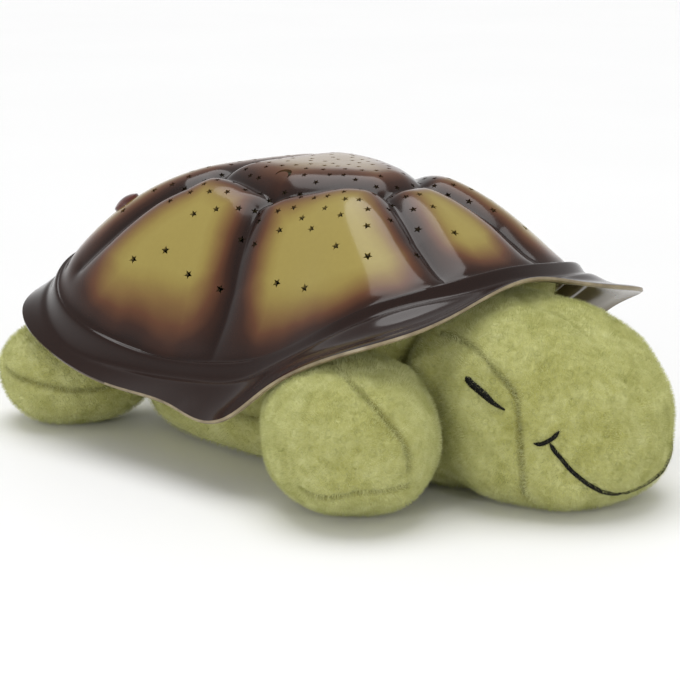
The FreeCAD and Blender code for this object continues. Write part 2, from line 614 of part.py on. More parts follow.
# ----------------------------------------------------------------- leads inside the shell
keep("battery_leads", group([
    tube([(12.0, -14.0, 18.5), (12.0, -14.0, 23.5), (37.0, -14.0, 23.5), (37.0, -14.0, 37.0), (18.0, -4.0, 37.0), (18.0, -4.0, 32.75)], 0.7),
]))
keep("led_leads", group([
    tube([(x, YC - 2, lz), (x, YC - 2, lz - 12), (x + 2, YC + 6, lz - 20), (x + 2, YC + 6, ct + 0.15)], 0.6) for x in (-2.0, 2.0)
]))
(b0, n0), (b3, n3) = BUTTONS[1], BUTTONS[2]
leads = []
for (at, n) in (BUTTONS[1], BUTTONS[2]):
    p = V(*at) + n * (SWITCH_BOARD_W - 1.2)
    leads.append(tube([(p.x, p.y, p.z), (p.x - n.x * 12, p.y - n.y * 12, p.z - n.z * 12), (p.x * 0.65, 84, 72), (p.x * 0.35, 72, 60), (p.x * 0.08, 60.4, 54), (p.x * 0.08, 60.2, 38), (p.x * 0.2, 48.5, 33), (p.x * 0.2, 48.5, ct + 0.15)], 0.7))
keep("button_leads", group(leads))

# ----------------------------------------------------------------- plush body
torso = rounded(2 * TORSO_A, 2 * TORSO_B, TORSO_R, 0, TORSO_TOP, TORSO_Y)
low = [e for e in torso.Edges if e.BoundBox.ZMax < 0.01]
torso = torso.makeFillet(TORSO_EDGE, low)
torso_body = torso.copy()
torso = torso.cut(rounded(WELL_W, WELL_L, WELL_R, TUB_TOP, TORSO_TOP + 1, TORSO_Y))
collar_full = prism(outline(COLLAR_OUT, 6, bead_r), TORSO_TOP, 150)
collar = collar_full.cut(prism(outline(COLLAR_IN, 6, bead_r), TUB_TOP, 200)).common(lowered)
for at, n in BUTTONS:
    collar = collar.cut(placed(cyl(19.0, 40, (0, 0, -29)), local(at, n)))
for x, y in BOSS_AT:
    collar = collar.cut(cyl(BOSS_R + 1.5, 90, (x, y, TUB_TOP)))
keep("plush_collar", collar)
torso = torso.cut(rounded(TUB_W + 1.0, TUB_L + 1.0, TUB_R + 0.5, TUB_FLOOR - 0.5, TUB_TOP + 1))
torso = torso.cut(box(-30, 30, -26.5, 50, -1, TUB_FLOOR))
belly = rounded(2 * (TORSO_A - TORSO_EDGE), 2 * (TORSO_B - TORSO_EDGE), TORSO_R - TORSO_EDGE, 0, BELLY_T, TORSO_Y)
recess = box(-FLAP_W / 2 - 1.5, FLAP_W / 2 + 1.5, FLAP_Y0 - 3.6, FLAP_Y1 + 2.0, -1, 3.8)
torso = torso.cut(belly).cut(recess)
belly = belly.cut(recess)
for x, y in BOSS_AT:
    torso = torso.cut(cyl(4.2, 8, (x, y, TUB_TOP - 7)))
keep("belly_panel", belly)
flap = box(-FLAP_W / 2, FLAP_W / 2, FLAP_Y0, FLAP_Y1, FLAP_Z, FLAP_Z + FLAP_T)
# the hem along the flap's fixed edge is a round roll of cloth, and the flap turns about its middle
keep("belly_flap", flap.fuse(cyl(FLAP_T / 2, FLAP_W, (-FLAP_W / 2, FLAP_HINGE_Y, FLAP_HINGE_Z), (1, 0, 0))))
keep("flap_hook_strip", box(-20, 20, FLAP_Y1 - 8, FLAP_Y1 - 1, FLAP_Z + FLAP_T, FLAP_Z + FLAP_T + 0.5))
keep("flap_loop_strip", box(-20, 20, FLAP_Y1 - 8, FLAP_Y1 - 1, 3.15, 3.8))

floor_cut = box(-300, 300, -300, 300, -200, 0)
head = ellipsoid(HEAD_C, HEAD_AX).cut(floor_cut).cut(torso_body).cut(collar_full)
head_body = ellipsoid(HEAD_C, HEAD_AX)
fp = ellipsoid(FRONT_PAW_C, (FRONT_PAW_AX[1], FRONT_PAW_AX[0], FRONT_PAW_AX[2]), FRONT_PAW_YAW).cut(floor_cut).cut(torso_body).cut(head_body).cut(collar_full)
rp = ellipsoid(REAR_PAW_C, (REAR_PAW_AX[1], REAR_PAW_AX[0], REAR_PAW_AX[2]), REAR_PAW_YAW).cut(floor_cut).cut(torso_body)
tail = ellipsoid(TAIL_C, TAIL_AX).cut(floor_cut).cut(torso_body)
keep("plush_torso", torso)
keep("plush_head", head)
keep("front_paw_right", fp)
keep("front_paw_left", mirror(fp))
keep("rear_paw_right", rp)
keep("rear_paw_left", mirror(rp))
keep("plush_tail", tail)


def on_head(lon, lat, lift):
    """a point on the head: lon from the nose towards the turtle's right, lat up, in degrees"""
    a, b = math.radians(lon), math.radians(lat)
    n = V(-math.sin(a) * math.cos(b) / HEAD_AX[0], -math.cos(a) * math.cos(b) / HEAD_AX[1], math.sin(b) / HEAD_AX[2]).normalize()
    p = V(-math.sin(a) * math.cos(b) * HEAD_AX[0], -math.cos(a) * math.cos(b) * HEAD_AX[1], math.sin(b) * HEAD_AX[2]) + V(*HEAD_C) + n * lift
    return (p.x, p.y, p.z)


eye = [on_head(lo, la, 1.15) for lo, la in ((88, 21), (82, 18), (77, 14), (72, 11), (67, 9))]
eyes = [bar(eye, 1.0)]
eyes.append(mirror(eyes[0]))
keep("eye_stitching", group(eyes))
smile = [on_head(lo, la, 1.32) for lo, la in ((49, -6), (45, -13), (38, -21), (28, -28), (14, -32), (0, -33), (-14, -32), (-28, -28), (-38, -21), (-45, -13), (-49, -6))]
tick = [on_head(lo, la, 1.32) for lo, la in ((55, -9), (49, -6), (45, -1))]
tick2 = [on_head(-lo, la, 1.32) for lo, la in ((55, -9), (49, -6), (45, -1))]
keep("mouth_stitching", bar(smile, 1.0).fuse(bar(tick, 1.0)).fuse(bar(tick2, 1.0)))

# ----------------------------------------------------------------- write
lo, hi = [1e9] * 3, [-1e9] * 3
for name, s in NODES.items():
    bb = s.BoundBox
    for i, (a, b) in enumerate(((bb.XMin, bb.XMax), (bb.YMin, bb.YMax), (bb.ZMin, bb.ZMax))):
        lo[i], hi[i] = min(lo[i], a), max(hi[i], b)
    ns = len(s.Solids)
    print("%-22s solids %d valid %s vol %.1f" % (name, ns, s.isValid(), s.Volume))
    s.exportStep("parts/" + name + ".step")
print("box", [round(v, 2) for v in lo], [round(v, 2) for v in hi])
for name, (at, n) in zip(names, BUTTONS):
    print(name, "at", [round(v, 3) for v in (at[0], at[1] + Y0, at[2])], "inward axis", [round(-v, 5) for v in (n.x, n.y, n.z)])
print("flap hinge", (0, FLAP_HINGE_Y + Y0, FLAP_HINGE_Z), "door hinge", (0, DOOR_HINGE_Y + Y0, pin_z))
print("nodes", len(NODES))
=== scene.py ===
import json
import math

import bmesh
import bpy
import numpy as np
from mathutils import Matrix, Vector
from mathutils.bvhtree import BVHTree


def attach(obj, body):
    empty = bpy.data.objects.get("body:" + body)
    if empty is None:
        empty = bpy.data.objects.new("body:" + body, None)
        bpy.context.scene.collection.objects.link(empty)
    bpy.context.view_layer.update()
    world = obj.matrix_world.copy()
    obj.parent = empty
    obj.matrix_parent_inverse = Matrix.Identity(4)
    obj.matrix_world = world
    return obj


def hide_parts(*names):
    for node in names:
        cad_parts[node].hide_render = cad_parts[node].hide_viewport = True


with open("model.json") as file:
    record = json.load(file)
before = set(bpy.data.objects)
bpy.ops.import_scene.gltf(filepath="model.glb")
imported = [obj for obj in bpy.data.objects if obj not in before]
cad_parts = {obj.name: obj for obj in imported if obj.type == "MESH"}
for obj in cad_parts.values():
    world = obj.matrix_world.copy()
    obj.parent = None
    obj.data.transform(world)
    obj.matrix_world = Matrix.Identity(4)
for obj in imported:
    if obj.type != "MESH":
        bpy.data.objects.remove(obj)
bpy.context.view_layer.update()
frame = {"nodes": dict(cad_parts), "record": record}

MM = 0.001
Y0 = 17.5          # the modelling frame's shift along Y, in millimetres
YC = 12.0
NODES = frame["nodes"]
SCENE = bpy.context.scene

# ------------------------------------------------------------------ camera
LOOK = Vector((-11.0, Y0, 53.1))
BACK = Vector((-0.6563, -0.7212, 0.2215)).normalized()
RIGHT = Vector((-BACK.y, BACK.x, 0.0)).normalized()
UPV = BACK.cross(RIGHT)
DIST, FOCAL = 1172.0, 2244.1
EYE = LOOK + BACK * DIST
cam_data = bpy.data.cameras.new("camera")
cam_data.sensor_width = 36.0
cam_data.sensor_fit = "HORIZONTAL"
cam_data.lens = FOCAL / 680.0 * 36.0
cam_data.clip_start, cam_data.clip_end = 0.01, 100.0
cam = bpy.data.objects.new("camera", cam_data)
SCENE.collection.objects.link(cam)
cam.location = EYE * MM
cam.rotation_euler = (-BACK).to_track_quat("-Z", "Y").to_euler()
SCENE.camera = cam
SCENE.view_settings.view_transform = "Standard"


def ray(u, v):
    """direction of the camera's ray through a point of the 680 x 680 picture"""
    return (-BACK + RIGHT * ((u - 340.0) / FOCAL) + UPV * ((340.0 - v) / FOCAL)).normalized()


# ------------------------------------------------------------------ small helpers
def link(name, verts, faces, smooth=True):
    me = bpy.data.meshes.new(name)
    me.from_pydata([tuple(map(float, p)) for p in np.asarray(verts) * MM], [], [list(map(int, f)) for f in faces])
    me.validate()
    me.update()
    if smooth:
        me.polygons.foreach_set("use_smooth", [True] * len(me.polygons))
    o = bpy.data.objects.new(name, me)
    SCENE.collection.objects.link(o)
    return o


def coords(o):
    co = np.zeros(len(o.data.vertices) * 3)
    o.data.vertices.foreach_get("co", co)
    return co.reshape(-1, 3) / MM


def set_coords(o, co):
    o.data.vertices.foreach_set("co", (np.asarray(co) * MM).ravel())
    o.data.update()


def normals(o):
    n = np.zeros(len(o.data.vertices) * 3)
    o.data.vertices.foreach_get("normal", n)
    return n.reshape(-1, 3)


def apply_mods(o):
    bpy.context.view_layer.update()
    dg = bpy.context.evaluated_depsgraph_get()
    me = bpy.data.meshes.new_from_object(o.evaluated_get(dg))
    old = o.data
    o.modifiers.clear()
    o.data = me
    bpy.data.meshes.remove(old)
    me.polygons.foreach_set("use_smooth", [True] * len(me.polygons))
    return o


def cspline(xs, ys):
    """natural cubic spline, vectorised"""
    xs, ys = np.asarray(xs, float), np.asarray(ys, float)
    n = len(xs)
    h = np.diff(xs)
    A = np.zeros((n, n))
    b = np.zeros(n)
    A[0, 0] = A[-1, -1] = 1
    for i in range(1, n - 1):
        A[i, i - 1], A[i, i], A[i, i + 1] = h[i - 1], 2 * (h[i - 1] + h[i]), h[i]
        b[i] = 6 * ((ys[i + 1] - ys[i]) / h[i] - (ys[i] - ys[i - 1]) / h[i - 1])
    m = np.linalg.solve(A, b)

    def f(x):
        x = np.asarray(x, float)
        i = np.clip(np.searchsorted(xs, x) - 1, 0, n - 2)
        t = h[i]
        p, q = (xs[i + 1] - x) / t, (x - xs[i]) / t
        return p * ys[i] + q * ys[i + 1] + ((p ** 3 - p) * m[i] + (q ** 3 - q) * m[i + 1]) * t * t / 6
    return f


def seg_dist(P, A, B):
    """distance of points P (n,k) to the segment A-B"""
    A, B = np.asarray(A, float), np.asarray(B, float)
    u = B - A
    t = np.clip(((P - A) @ u) / max(u @ u, 1e-12), 0, 1)
    return np.linalg.norm(P - A - t[:, None] * u, axis=1)


def line_dist(P, L):
    d = np.full(len(P), 1e9)
    for i in range(len(L) - 1):
        d = np.minimum(d, seg_dist(P, L[i], L[i + 1]))
    return d


def smooth01(x, a, b):
    t = np.clip((np.asarray(x, float) - a) / (b - a), 0, 1)
    return t * t * (3 - 2 * t)


def lump(P, size, seed, octaves=3):
    """smooth pseudo-random field in -1..1 made of sines, the same each run"""
    rng = np.random.RandomState(seed)
    out = np.zeros(len(P))
    amp, s, tot = 1.0, size, 0.0
    for k in range(octaves):
        for j in range(5):
            d = rng.normal(size=3)
            d /= np.linalg.norm(d)
            out += amp * np.sin(P @ d * (2 * np.pi / s) * rng.uniform(0.75, 1.3) + rng.uniform(0, 6.28)) / 5 ** 0.5
        tot += amp
        amp *= 0.5
        s *= 0.5
    return out / tot


def attribute(o, name, values):
    a = o.data.attributes.get(name) or o.data.attributes.new(name, "FLOAT", "POINT")
    a.data.foreach_set("value", np.asarray(values, np.float32))


# ------------------------------------------------------------------ node helpers for materials
class Mat:
    def __init__(self, name):
        self.m = bpy.data.materials.new(name)
        self.m.use_nodes = True
        self.t = self.m.node_tree
        self.t.nodes.clear()
        self.out = self.t.nodes.new("ShaderNodeOutputMaterial")
        self.b = self.t.nodes.new("ShaderNodeBsdfPrincipled")
        self.t.links.new(self.b.outputs[0], self.out.inputs[0])
        self.co = self.t.nodes.new("ShaderNodeTexCoord").outputs["Object"]

    def link(self, a, b):
        self.t.links.new(a, b)

    def node(self, kind, **kw):
        n = self.t.nodes.new(kind)
        for k, v in kw.items():
            setattr(n, k, v)
        return n

    def noise(self, scale, detail=3.0, rough=0.5, distort=0.0, co=None):
        n = self.node("ShaderNodeTexNoise")
        n.inputs["Scale"].default_value = scale
        n.inputs["Detail"].default_value = detail
        n.inputs["Roughness"].default_value = rough
        n.inputs["Distortion"].default_value = distort
        self.link(co or self.co, n.inputs["Vector"])
        return n.outputs["Fac"]

    def voronoi(self, scale, feature="F1", out="Distance", rnd=1.0):
        n = self.node("ShaderNodeTexVoronoi", feature=feature)
        n.inputs["Scale"].default_value = scale
        n.inputs["Randomness"].default_value = rnd
        self.link(self.co, n.inputs["Vector"])
        return n.outputs[out]

    def ramp(self, fac, stops, ease="LINEAR"):
        r = self.node("ShaderNodeValToRGB")
        r.color_ramp.interpolation = ease
        e = r.color_ramp.elements
        e[0].position, e[0].color = stops[0][0], (*stops[0][1], 1.0)
        e[1].position, e[1].color = stops[-1][0], (*stops[-1][1], 1.0)
        for p, c in stops[1:-1]:
            e.new(p).color = (*c, 1.0)
        self.link(fac, r.inputs[0])
        return r.outputs["Color"]

    def math(self, op, a, b=None, clamp=False):
        n = self.node("ShaderNodeMath", operation=op, use_clamp=clamp)
        for i, v in enumerate((a, b)):
            if v is None:
                continue
            if isinstance(v, (int, float)):
                n.inputs[i].default_value = v
            else:
                self.link(v, n.inputs[i])
        return n.outputs[0]

    def mix(self, fac, a, b, mode="MIX"):
        n = self.node("ShaderNodeMix", data_type="RGBA", blend_type=mode)
        for s, v in ((n.inputs[0], fac), (n.inputs[6], a), (n.inputs[7], b)):
            if isinstance(v, (int, float)):
                s.default_value = v
            elif isinstance(v, tuple):
                s.default_value = (*v, 1.0)
            else:
                self.link(v, s)
        return n.outputs[2]

    def attr(self, name):
        n = self.node("ShaderNodeAttribute", attribute_name=name)
        return n.outputs["Fac"]

    def bump(self, height, strength=0.3, dist=0.001, normal=None):
        n = self.node("ShaderNodeBump")
        n.inputs["Strength"].default_value = strength
        n.inputs["Distance"].default_value = dist
        self.link(height, n.inputs["Height"])
        if normal is not None:
            self.link(normal, n.inputs["Normal"])
        return n.outputs[0]

    def set(self, **kw):
        for k, v in kw.items():
            s = self.b.inputs[k.replace("_", " ")]
            if isinstance(v, tuple):
                s.default_value = (*v, 1.0) if len(v) == 3 else v
            elif isinstance(v, (int, float)):
                s.default_value = v
            else:
                self.link(v, s)
        return self


def srgb(r, g, b):
    f = lambda c: (c / 255 / 12.92) if c / 255 <= 0.04045 else ((c / 255 + 0.055) / 1.055) ** 2.4
    return (f(r), f(g), f(b))


# ------------------------------------------------------------------ star shell surface
T_SHELL = 2.2
H_TOP, DP, DQ, DQ1, DK = 144.7, 3.1, 1.15, 0.22, 1.3
RIM = [(0, -123, 101), (-44, -124, 93), (-86, -121, 84.5), (-112, -81, 67), (-118, -64, 56), (-121.8, -52, 46),
       (-124.5, -41.5, 39), (-125.4, -3, 38.6), (-126, 35, 40), (-127, 94, 48), (-112, 141, 65.4), (-61, 149.6, 78.3), (0, 150.3, 85)]
BEAD = [(0, -106, 104), (-45, -101, 100.5), (-73.7, -85.6, 91.6), (-87.7, -52.4, 71), (-99.3, -4.9, 56),
        (-111, 54, 57.5), (-112, 104.5, 73.3), (-83, 133, 89.6), (-41.8, 137, 96.6), (0, 135, 100)]
J1, J2, J3 = (-42, 60), (-46, 12), (-14, -36)
GROOVES = [[J1, J2], [J2, J3], [J3, (14, -36)], [J1, (42, 60)],
           [J1, (-58, 67), (-68, 77), (-79, 85), (-89, 93), (-100, 104)],
           [J2, (-54, 14), (-65, 10), (-74, 6), (-81, 2), (-88, 0), (-104, -1)],
           [J3, (-22, -55), (-29, -75), (-34, -104)]]
GROOVES = GROOVES + [[(-x, y) for x, y in g] for g in GROOVES if g[-1][0] < 0]


def even(table):
    rows = [(math.degrees(math.atan2(abs(x), -(y - YC))), math.hypot(x, y - YC), z) for x, y, z in table]
    full = [(-p, r, z) for p, r, z in rows[1:]][::-1] + rows + [(360 - p, r, z) for p, r, z in rows[:-1]][::-1]
    a = np.array(full)
    return cspline(a[:, 0], a[:, 1]), cspline(a[:, 0], a[:, 2])


rim_r, rim_z = even(RIM)
bead_r, bead_z = even(BEAD)


def groove_field(x, y):
    P = np.stack([x, y], -1)
    out = np.zeros(len(P))
    near = np.full(len(P), 1e9)
    for g in GROOVES:
        d = line_dist(P, g)
        near = np.minimum(near, d)
        d = np.sqrt(d * d + 0.5) - 0.7
        out += np.clip(1 - d / 19.0, 0, 1) ** 7.2
    return out ** (1 / 3.0), near


def shell_height(x, y):
    phi = np.degrees(np.arctan2(np.abs(x), -(y - YC)))
    r = np.hypot(x, y - YC)
    rb, zb, rr, zr = bead_r(phi), bead_z(phi), rim_r(phi), rim_z(phi)
    c = np.cos(np.radians(phi))
    rho = np.clip(r / rb, 0, 1)
    z = zb + (H_TOP - zb) * np.maximum(1 - rho ** DP, 0) ** (DQ + DQ1 * c) - DK * c * rho * (1 - rho * rho)
    g, near = groove_field(x, y)
    z = z - 6.4 * g * np.clip(1 - rho ** 14, 0, 1)
    t = np.clip((r - rb) / (rr - rb), 0, 1.2)
    d = r - rb
    front = smooth01(c, 0.2, 0.85)
    s = t + 0.10 * np.sin(np.pi * np.clip(t, 0, 1)) * (1 - front)
    z = np.where(r > rb, zb + (zr - zb) * s, z)
    bead = 2.3 * np.exp(-((d - 2.6) / 1.9) ** 2) - 1.3 * np.exp(-((d - 7.2) / 2.2) ** 2) - 0.9 * np.exp(-((d + 2.2) / 2.4) ** 2)
    z = z + bead
    z = z + front * (1.6 * smooth01(t, 0.7, 1.0) - 1.4 * np.exp(-((t - 0.55) / 0.2) ** 2))
    return z, rho, near, d, t


def shell_normal(x, y, e=0.4):
    zx = (shell_height(x + e, y)[0] - shell_height(x - e, y)[0]) / (2 * e)
    zy = (shell_height(x, y + e)[0] - shell_height(x, y - e)[0]) / (2 * e)
    n = np.stack([-zx, -zy, np.ones_like(zx)], -1)
    return n / np.linalg.norm(n, axis=1)[:, None]


def polar_grid(nphi, rings):
    phi = np.linspace(0, 2 * np.pi, nphi, endpoint=False)
    deg = np.degrees(phi)
    deg = np.where(deg > 180, 360 - deg, deg)
    rb, rr = bead_r(deg), rim_r(deg)
    X, Y = [], []
    for kind, v in rings:
        r = v * rb if kind == "dome" else rb + v * (rr - rb)
        X.append(-np.sin(phi) * r)
        Y.append(YC - np.cos(phi) * r)
    return np.concatenate(X), np.concatenate(Y)


def halton(i, b):
    f, r = 1.0, 0.0
    while i:
        f /= b
        r += f * (i % b)
        i //= b
    return r


BUTTON_PHI = (146.0, 168.5, -168.5, -146.0)
BUTTON_XY = []
for p in BUTTON_PHI:
    a = math.radians(abs(p))
    r = 0.80 * float(bead_r(abs(p)))
    BUTTON_XY.append(((-1 if p > 0 else 1) * math.sin(a) * r, YC - math.cos(a) * r))
BOSS_AT = [(-69.0, -30.0), (69.0, -30.0), (-69.0, 62.0), (69.0, 62.0)]
MOON = (-34.0, 18.0)


def star_places():
    out = []
    for i in range(1, 3600):
        rho = math.sqrt(halton(i, 2)) * 0.84
        phi = halton(i, 3) * 180
        a = math.radians(phi)
        rb = float(bead_r(phi))
        x, y = -math.sin(a) * rho * rb, YC - math.cos(a) * rho * rb
        if x > -1.5:
            continue
        density = 1.0 if rho < 0.52 else max(0.0, 1 - (rho - 0.52) / 0.31) ** 1.25
        if halton(i, 5) > density + 0.03:
            continue
        need = min(15.0, 6.9 / max(0.34, math.sqrt(max(density, 0.02))))
        if math.hypot(x - MOON[0], y - MOON[1]) < 8.5:
            continue
        if any(math.hypot(x - p, y - q) < 14 for p, q in BUTTON_XY):
            continue
        if any(math.hypot(x - p[0], y - p[1]) < need or math.hypot(x + p[0], y - p[1]) < 5.5 for p in out):
            continue
        out.append((x, y, 1.7 + 0.9 * min(1.0, rho / 0.8) ** 2, halton(i, 7) * 6.283))
    both = []
    for x, y, r, t in out:
        both.append((x, y, r, t))
        a = math.atan2(x, y - YC) + 0.16
        q = math.hypot(x, y - YC)
        xx, yy = -q * math.sin(a), YC + q * math.cos(a)
        if xx > 2.5 and not any(math.hypot(xx - p, yy - s) < 14 for p, s in BUTTON_XY):
            both.append((xx, yy, r, t + 1.0))
    return both


def build_shell():
    NP, ND, NS = ((560, 150, 40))
    dome = [("dome", v) for v in (np.linspace(0.012, 1, ND) ** 0.93)]
    skirt = [("skirt", v) for v in np.linspace(0, 1, NS + 1)[1:]]
    rings = dome + skirt
    x, y = polar_grid(NP, rings)
    z, rho, near, d, t = shell_height(x, y)
    top = np.stack([x, y, z], -1)
    zc = shell_height(np.array([0.0]), np.array([YC]))[0][0]
    n = shell_normal(x, y)
    # the wall keeps its thickness along the surface's normal; the rim is rounded
    low = top - n * T_SHELL
    nr = len(rings)
    verts = [top, low, np.array([[0, YC, zc], [0, YC, zc - T_SHELL]])]
    V = np.concatenate(verts)
    N = NP * nr
    faces = []
    ring_tag = []
    idx = np.arange(NP)
    nxt = (idx + 1) % NP
    for k in range(nr - 1):
        a, b = k * NP, (k + 1) * NP
        faces += np.stack([a + idx, b + idx, b + nxt, a + nxt], -1).tolist()
        faces += np.stack([N + a + nxt, N + b + nxt, N + b + idx, N + a + idx], -1).tolist()
    faces += [[2 * N, i, (i + 1) % NP] for i in range(NP)]
    faces += [[2 * N + 1, N + (i + 1) % NP, N + i] for i in range(NP)]
    last = (nr - 1) * NP
    edge0 = len(faces)
    # rounded rim: one extra ring halfway, pushed out a little
    mid = (top[last:] + low[last:]) / 2
    out = top[last:] - top[last - NP:last]
    out /= np.linalg.norm(out, axis=1)[:, None]
    m0 = len(V)
    V = np.concatenate([V, mid + out * 0.7])
    faces += np.stack([last + idx, m0 + idx, m0 + nxt, last + nxt], -1).tolist()
    faces += np.stack([m0 + idx, N + last + idx, N + last + nxt, m0 + nxt], -1).tolist()
    V[:, 1] += Y0
    faces = [f[::-1] for f in faces]
    o = link("star_shell_skin", V, faces)
    # colour field: distance into the lobe, 0 at a valley or the bead, 1 in the middle of a lobe
    # star holes and the crescent, cut square to the surface
    bm = bmesh.new()
    for (sx, sy, r, turn) in star_places():
        nn = shell_normal(np.array([sx]), np.array([sy]))[0]
        cz = shell_height(np.array([sx]), np.array([sy]))[0][0]
        u = np.cross(nn, (0.0, 1.0, 0.0))
        u /= np.linalg.norm(u)
        v = np.cross(nn, u)
        c0 = np.array([sx, sy, cz])
        lo, hi = [], []
        for k in range(10):
            a = turn + math.pi * k / 5
            q = r if k % 2 == 0 else r * 0.46
            off = (u * math.cos(a) + v * math.sin(a)) * q
            for lst, h in ((lo, -4.5), (hi, 2.5)):
                p = c0 + off + nn * h
                lst.append(bm.verts.new((p[0] * MM, (p[1] + Y0) * MM, p[2] * MM)))
        bm.faces.new(lo)
        bm.faces.new(hi[::-1])
        for k in range(10):
            j = (k + 1) % 10
            bm.faces.new((lo[k], hi[k], hi[j], lo[j]))
    # crescent
    nn = shell_normal(np.array([MOON[0]]), np.array([MOON[1]]))[0]
    cz = shell_height(np.array([MOON[0]]), np.array([MOON[1]]))[0][0]
    u = np.cross(nn, (0.0, 1.0, 0.0))
    u /= np.linalg.norm(u)
    v = np.cross(nn, u)
    R = 4.6
    pts = []
    for k in range(17):
        a = math.radians(58 + 244 * k / 16)
        pts.append((R * math.cos(a), R * math.sin(a)))
    for k in range(1, 16):
        a = math.radians(279.9 - 199.8 * k / 16)
        pts.append((1.757 + 3.957 * math.cos(a), 3.957 * math.sin(a)))
    lo, hi = [], []
    for px, py in pts:
        for lst, h in ((lo, -4.5), (hi, 2.5)):
            p = np.array([MOON[0], MOON[1], cz]) + u * px + v * py + nn * h
            lst.append(bm.verts.new((p[0] * MM, (p[1] + Y0) * MM, p[2] * MM)))
    bm.faces.new(lo)
    bm.faces.new(hi[::-1])
    for k in range(len(pts)):
        j = (k + 1) % len(pts)
        bm.faces.new((lo[k], hi[k], hi[j], lo[j]))
    # round button holes
    for sx, sy in BUTTON_XY:
        nn = shell_normal(np.array([sx]), np.array([sy]), 3.0)[0]
        cz = shell_height(np.array([sx]), np.array([sy]))[0][0]
        u = np.cross(nn, (0.0, 1.0, 0.0))
        u /= np.linalg.norm(u)
        v = np.cross(nn, u)
        lo, hi = [], []
        for k in range(48):
            a = 2 * math.pi * k / 48
            off = (u * math.cos(a) + v * math.sin(a)) * 7.75
            for lst, h in ((lo, -6.0), (hi, 4.0)):
                p = np.array([sx, sy, cz]) + off + nn * h
                lst.append(bm.verts.new((p[0] * MM, (p[1] + Y0) * MM, p[2] * MM)))
        bm.faces.new(lo)
        bm.faces.new(hi[::-1])
        for k in range(48):
            j = (k + 1) % 48
            bm.faces.new((lo[k], hi[k], hi[j], lo[j]))
    bmesh.ops.recalc_face_normals(bm, faces=bm.faces)
    me = bpy.data.meshes.new("cutters")
    bm.to_mesh(me)
    bm.free()
    cut = bpy.data.objects.new("cutters", me)
    SCENE.collection.objects.link(cut)
    mod = o.modifiers.new("holes", "BOOLEAN")
    mod.operation, mod.solver, mod.object = "DIFFERENCE", "MANIFOLD", cut
    apply_mods(o)
    bpy.data.objects.remove(cut)
    P = coords(o)
    x, y = P[:, 0], P[:, 1] - Y0
    z, rho, near, d, t = shell_height(x, y)
    g, n2 = groove_field(x, y)
    attribute(o, "valley", near)
    attribute(o, "base", -d)
    attribute(o, "outer", (P[:, 2] > z - 0.5).astype(float))
    attribute(o, "tee", t)
    attribute(o, "crown", 1 - smooth01(rho, 0.20, 0.50))
    o.data.set_sharp_from_angle(angle=math.radians(38))
    edge = set(np.nonzero((t > 0.995) & (P[:, 2] < z - 0.3) & (P[:, 2] > z - T_SHELL + 0.05))[0].tolist())
    return o, [p.index for p in o.data.polygons if any(i in edge for i in p.vertices)]


def shell_material():
    m = Mat("shell_gloss")
    valley = m.attr("valley")
    base = m.attr("base")
    wob = m.noise(26.0, 2.0, 0.5)
    wob = m.math("MULTIPLY", m.math("SUBTRACT", wob, 0.5), 9.0)
    a = m.math("DIVIDE", m.math("SUBTRACT", m.math("ADD", valley, wob), 2.0), 23.0, True)
    b = m.math("DIVIDE", m.math("SUBTRACT", m.math("ADD", base, wob), 0.5), 21.0, True)
    k = m.math("MULTIPLY", a, b)
    k = m.math("MULTIPLY", k, m.math("SUBTRACT", 1.0, m.math("MULTIPLY", m.attr("crown"), 0.42)))
    col = m.ramp(k, [(0.0, srgb(31, 16, 12)), (0.16, srgb(54, 29, 19)), (0.34, srgb(94, 58, 37)), (0.55, srgb(126, 98, 55)), (0.80, srgb(150, 132, 70)), (1.0, srgb(158, 142, 77))], "LINEAR")
    inside = m.attr("outer")
    col = m.mix(inside, srgb(120, 108, 84), col)
    speck = m.noise(420.0, 2.0, 0.6)
    col = m.mix(m.math("MULTIPLY", speck, 0.10), col, srgb(70, 45, 30))
    peel = m.noise(150.0, 1.0, 0.4)
    rough = m.math("ADD", m.math("MULTIPLY", m.noise(60.0, 3.0, 0.6), 0.08), 0.12)
    m.set(Base_Color=col, Roughness=rough, Normal=m.bump(peel, 0.05, 0.0006))
    m.set(Coat_Weight=0.15, Coat_Roughness=0.03, IOR=1.42, Specular_IOR_Level=0.32)
    return m.m


def edge_and_highlight_material():
    # raw plastic tone of the rim's edge, lightened as a painted highlight along the outer lip
    m = Mat("shell_edge_and_highlight")
    n = m.noise(90.0, 3.0, 0.6)
    m.set(Base_Color=m.ramp(n, [(0.3, srgb(112, 98, 74)), (0.7, srgb(156, 142, 112))]), Roughness=0.35, Normal=m.bump(n, 0.1, 0.0004))
    return m.m


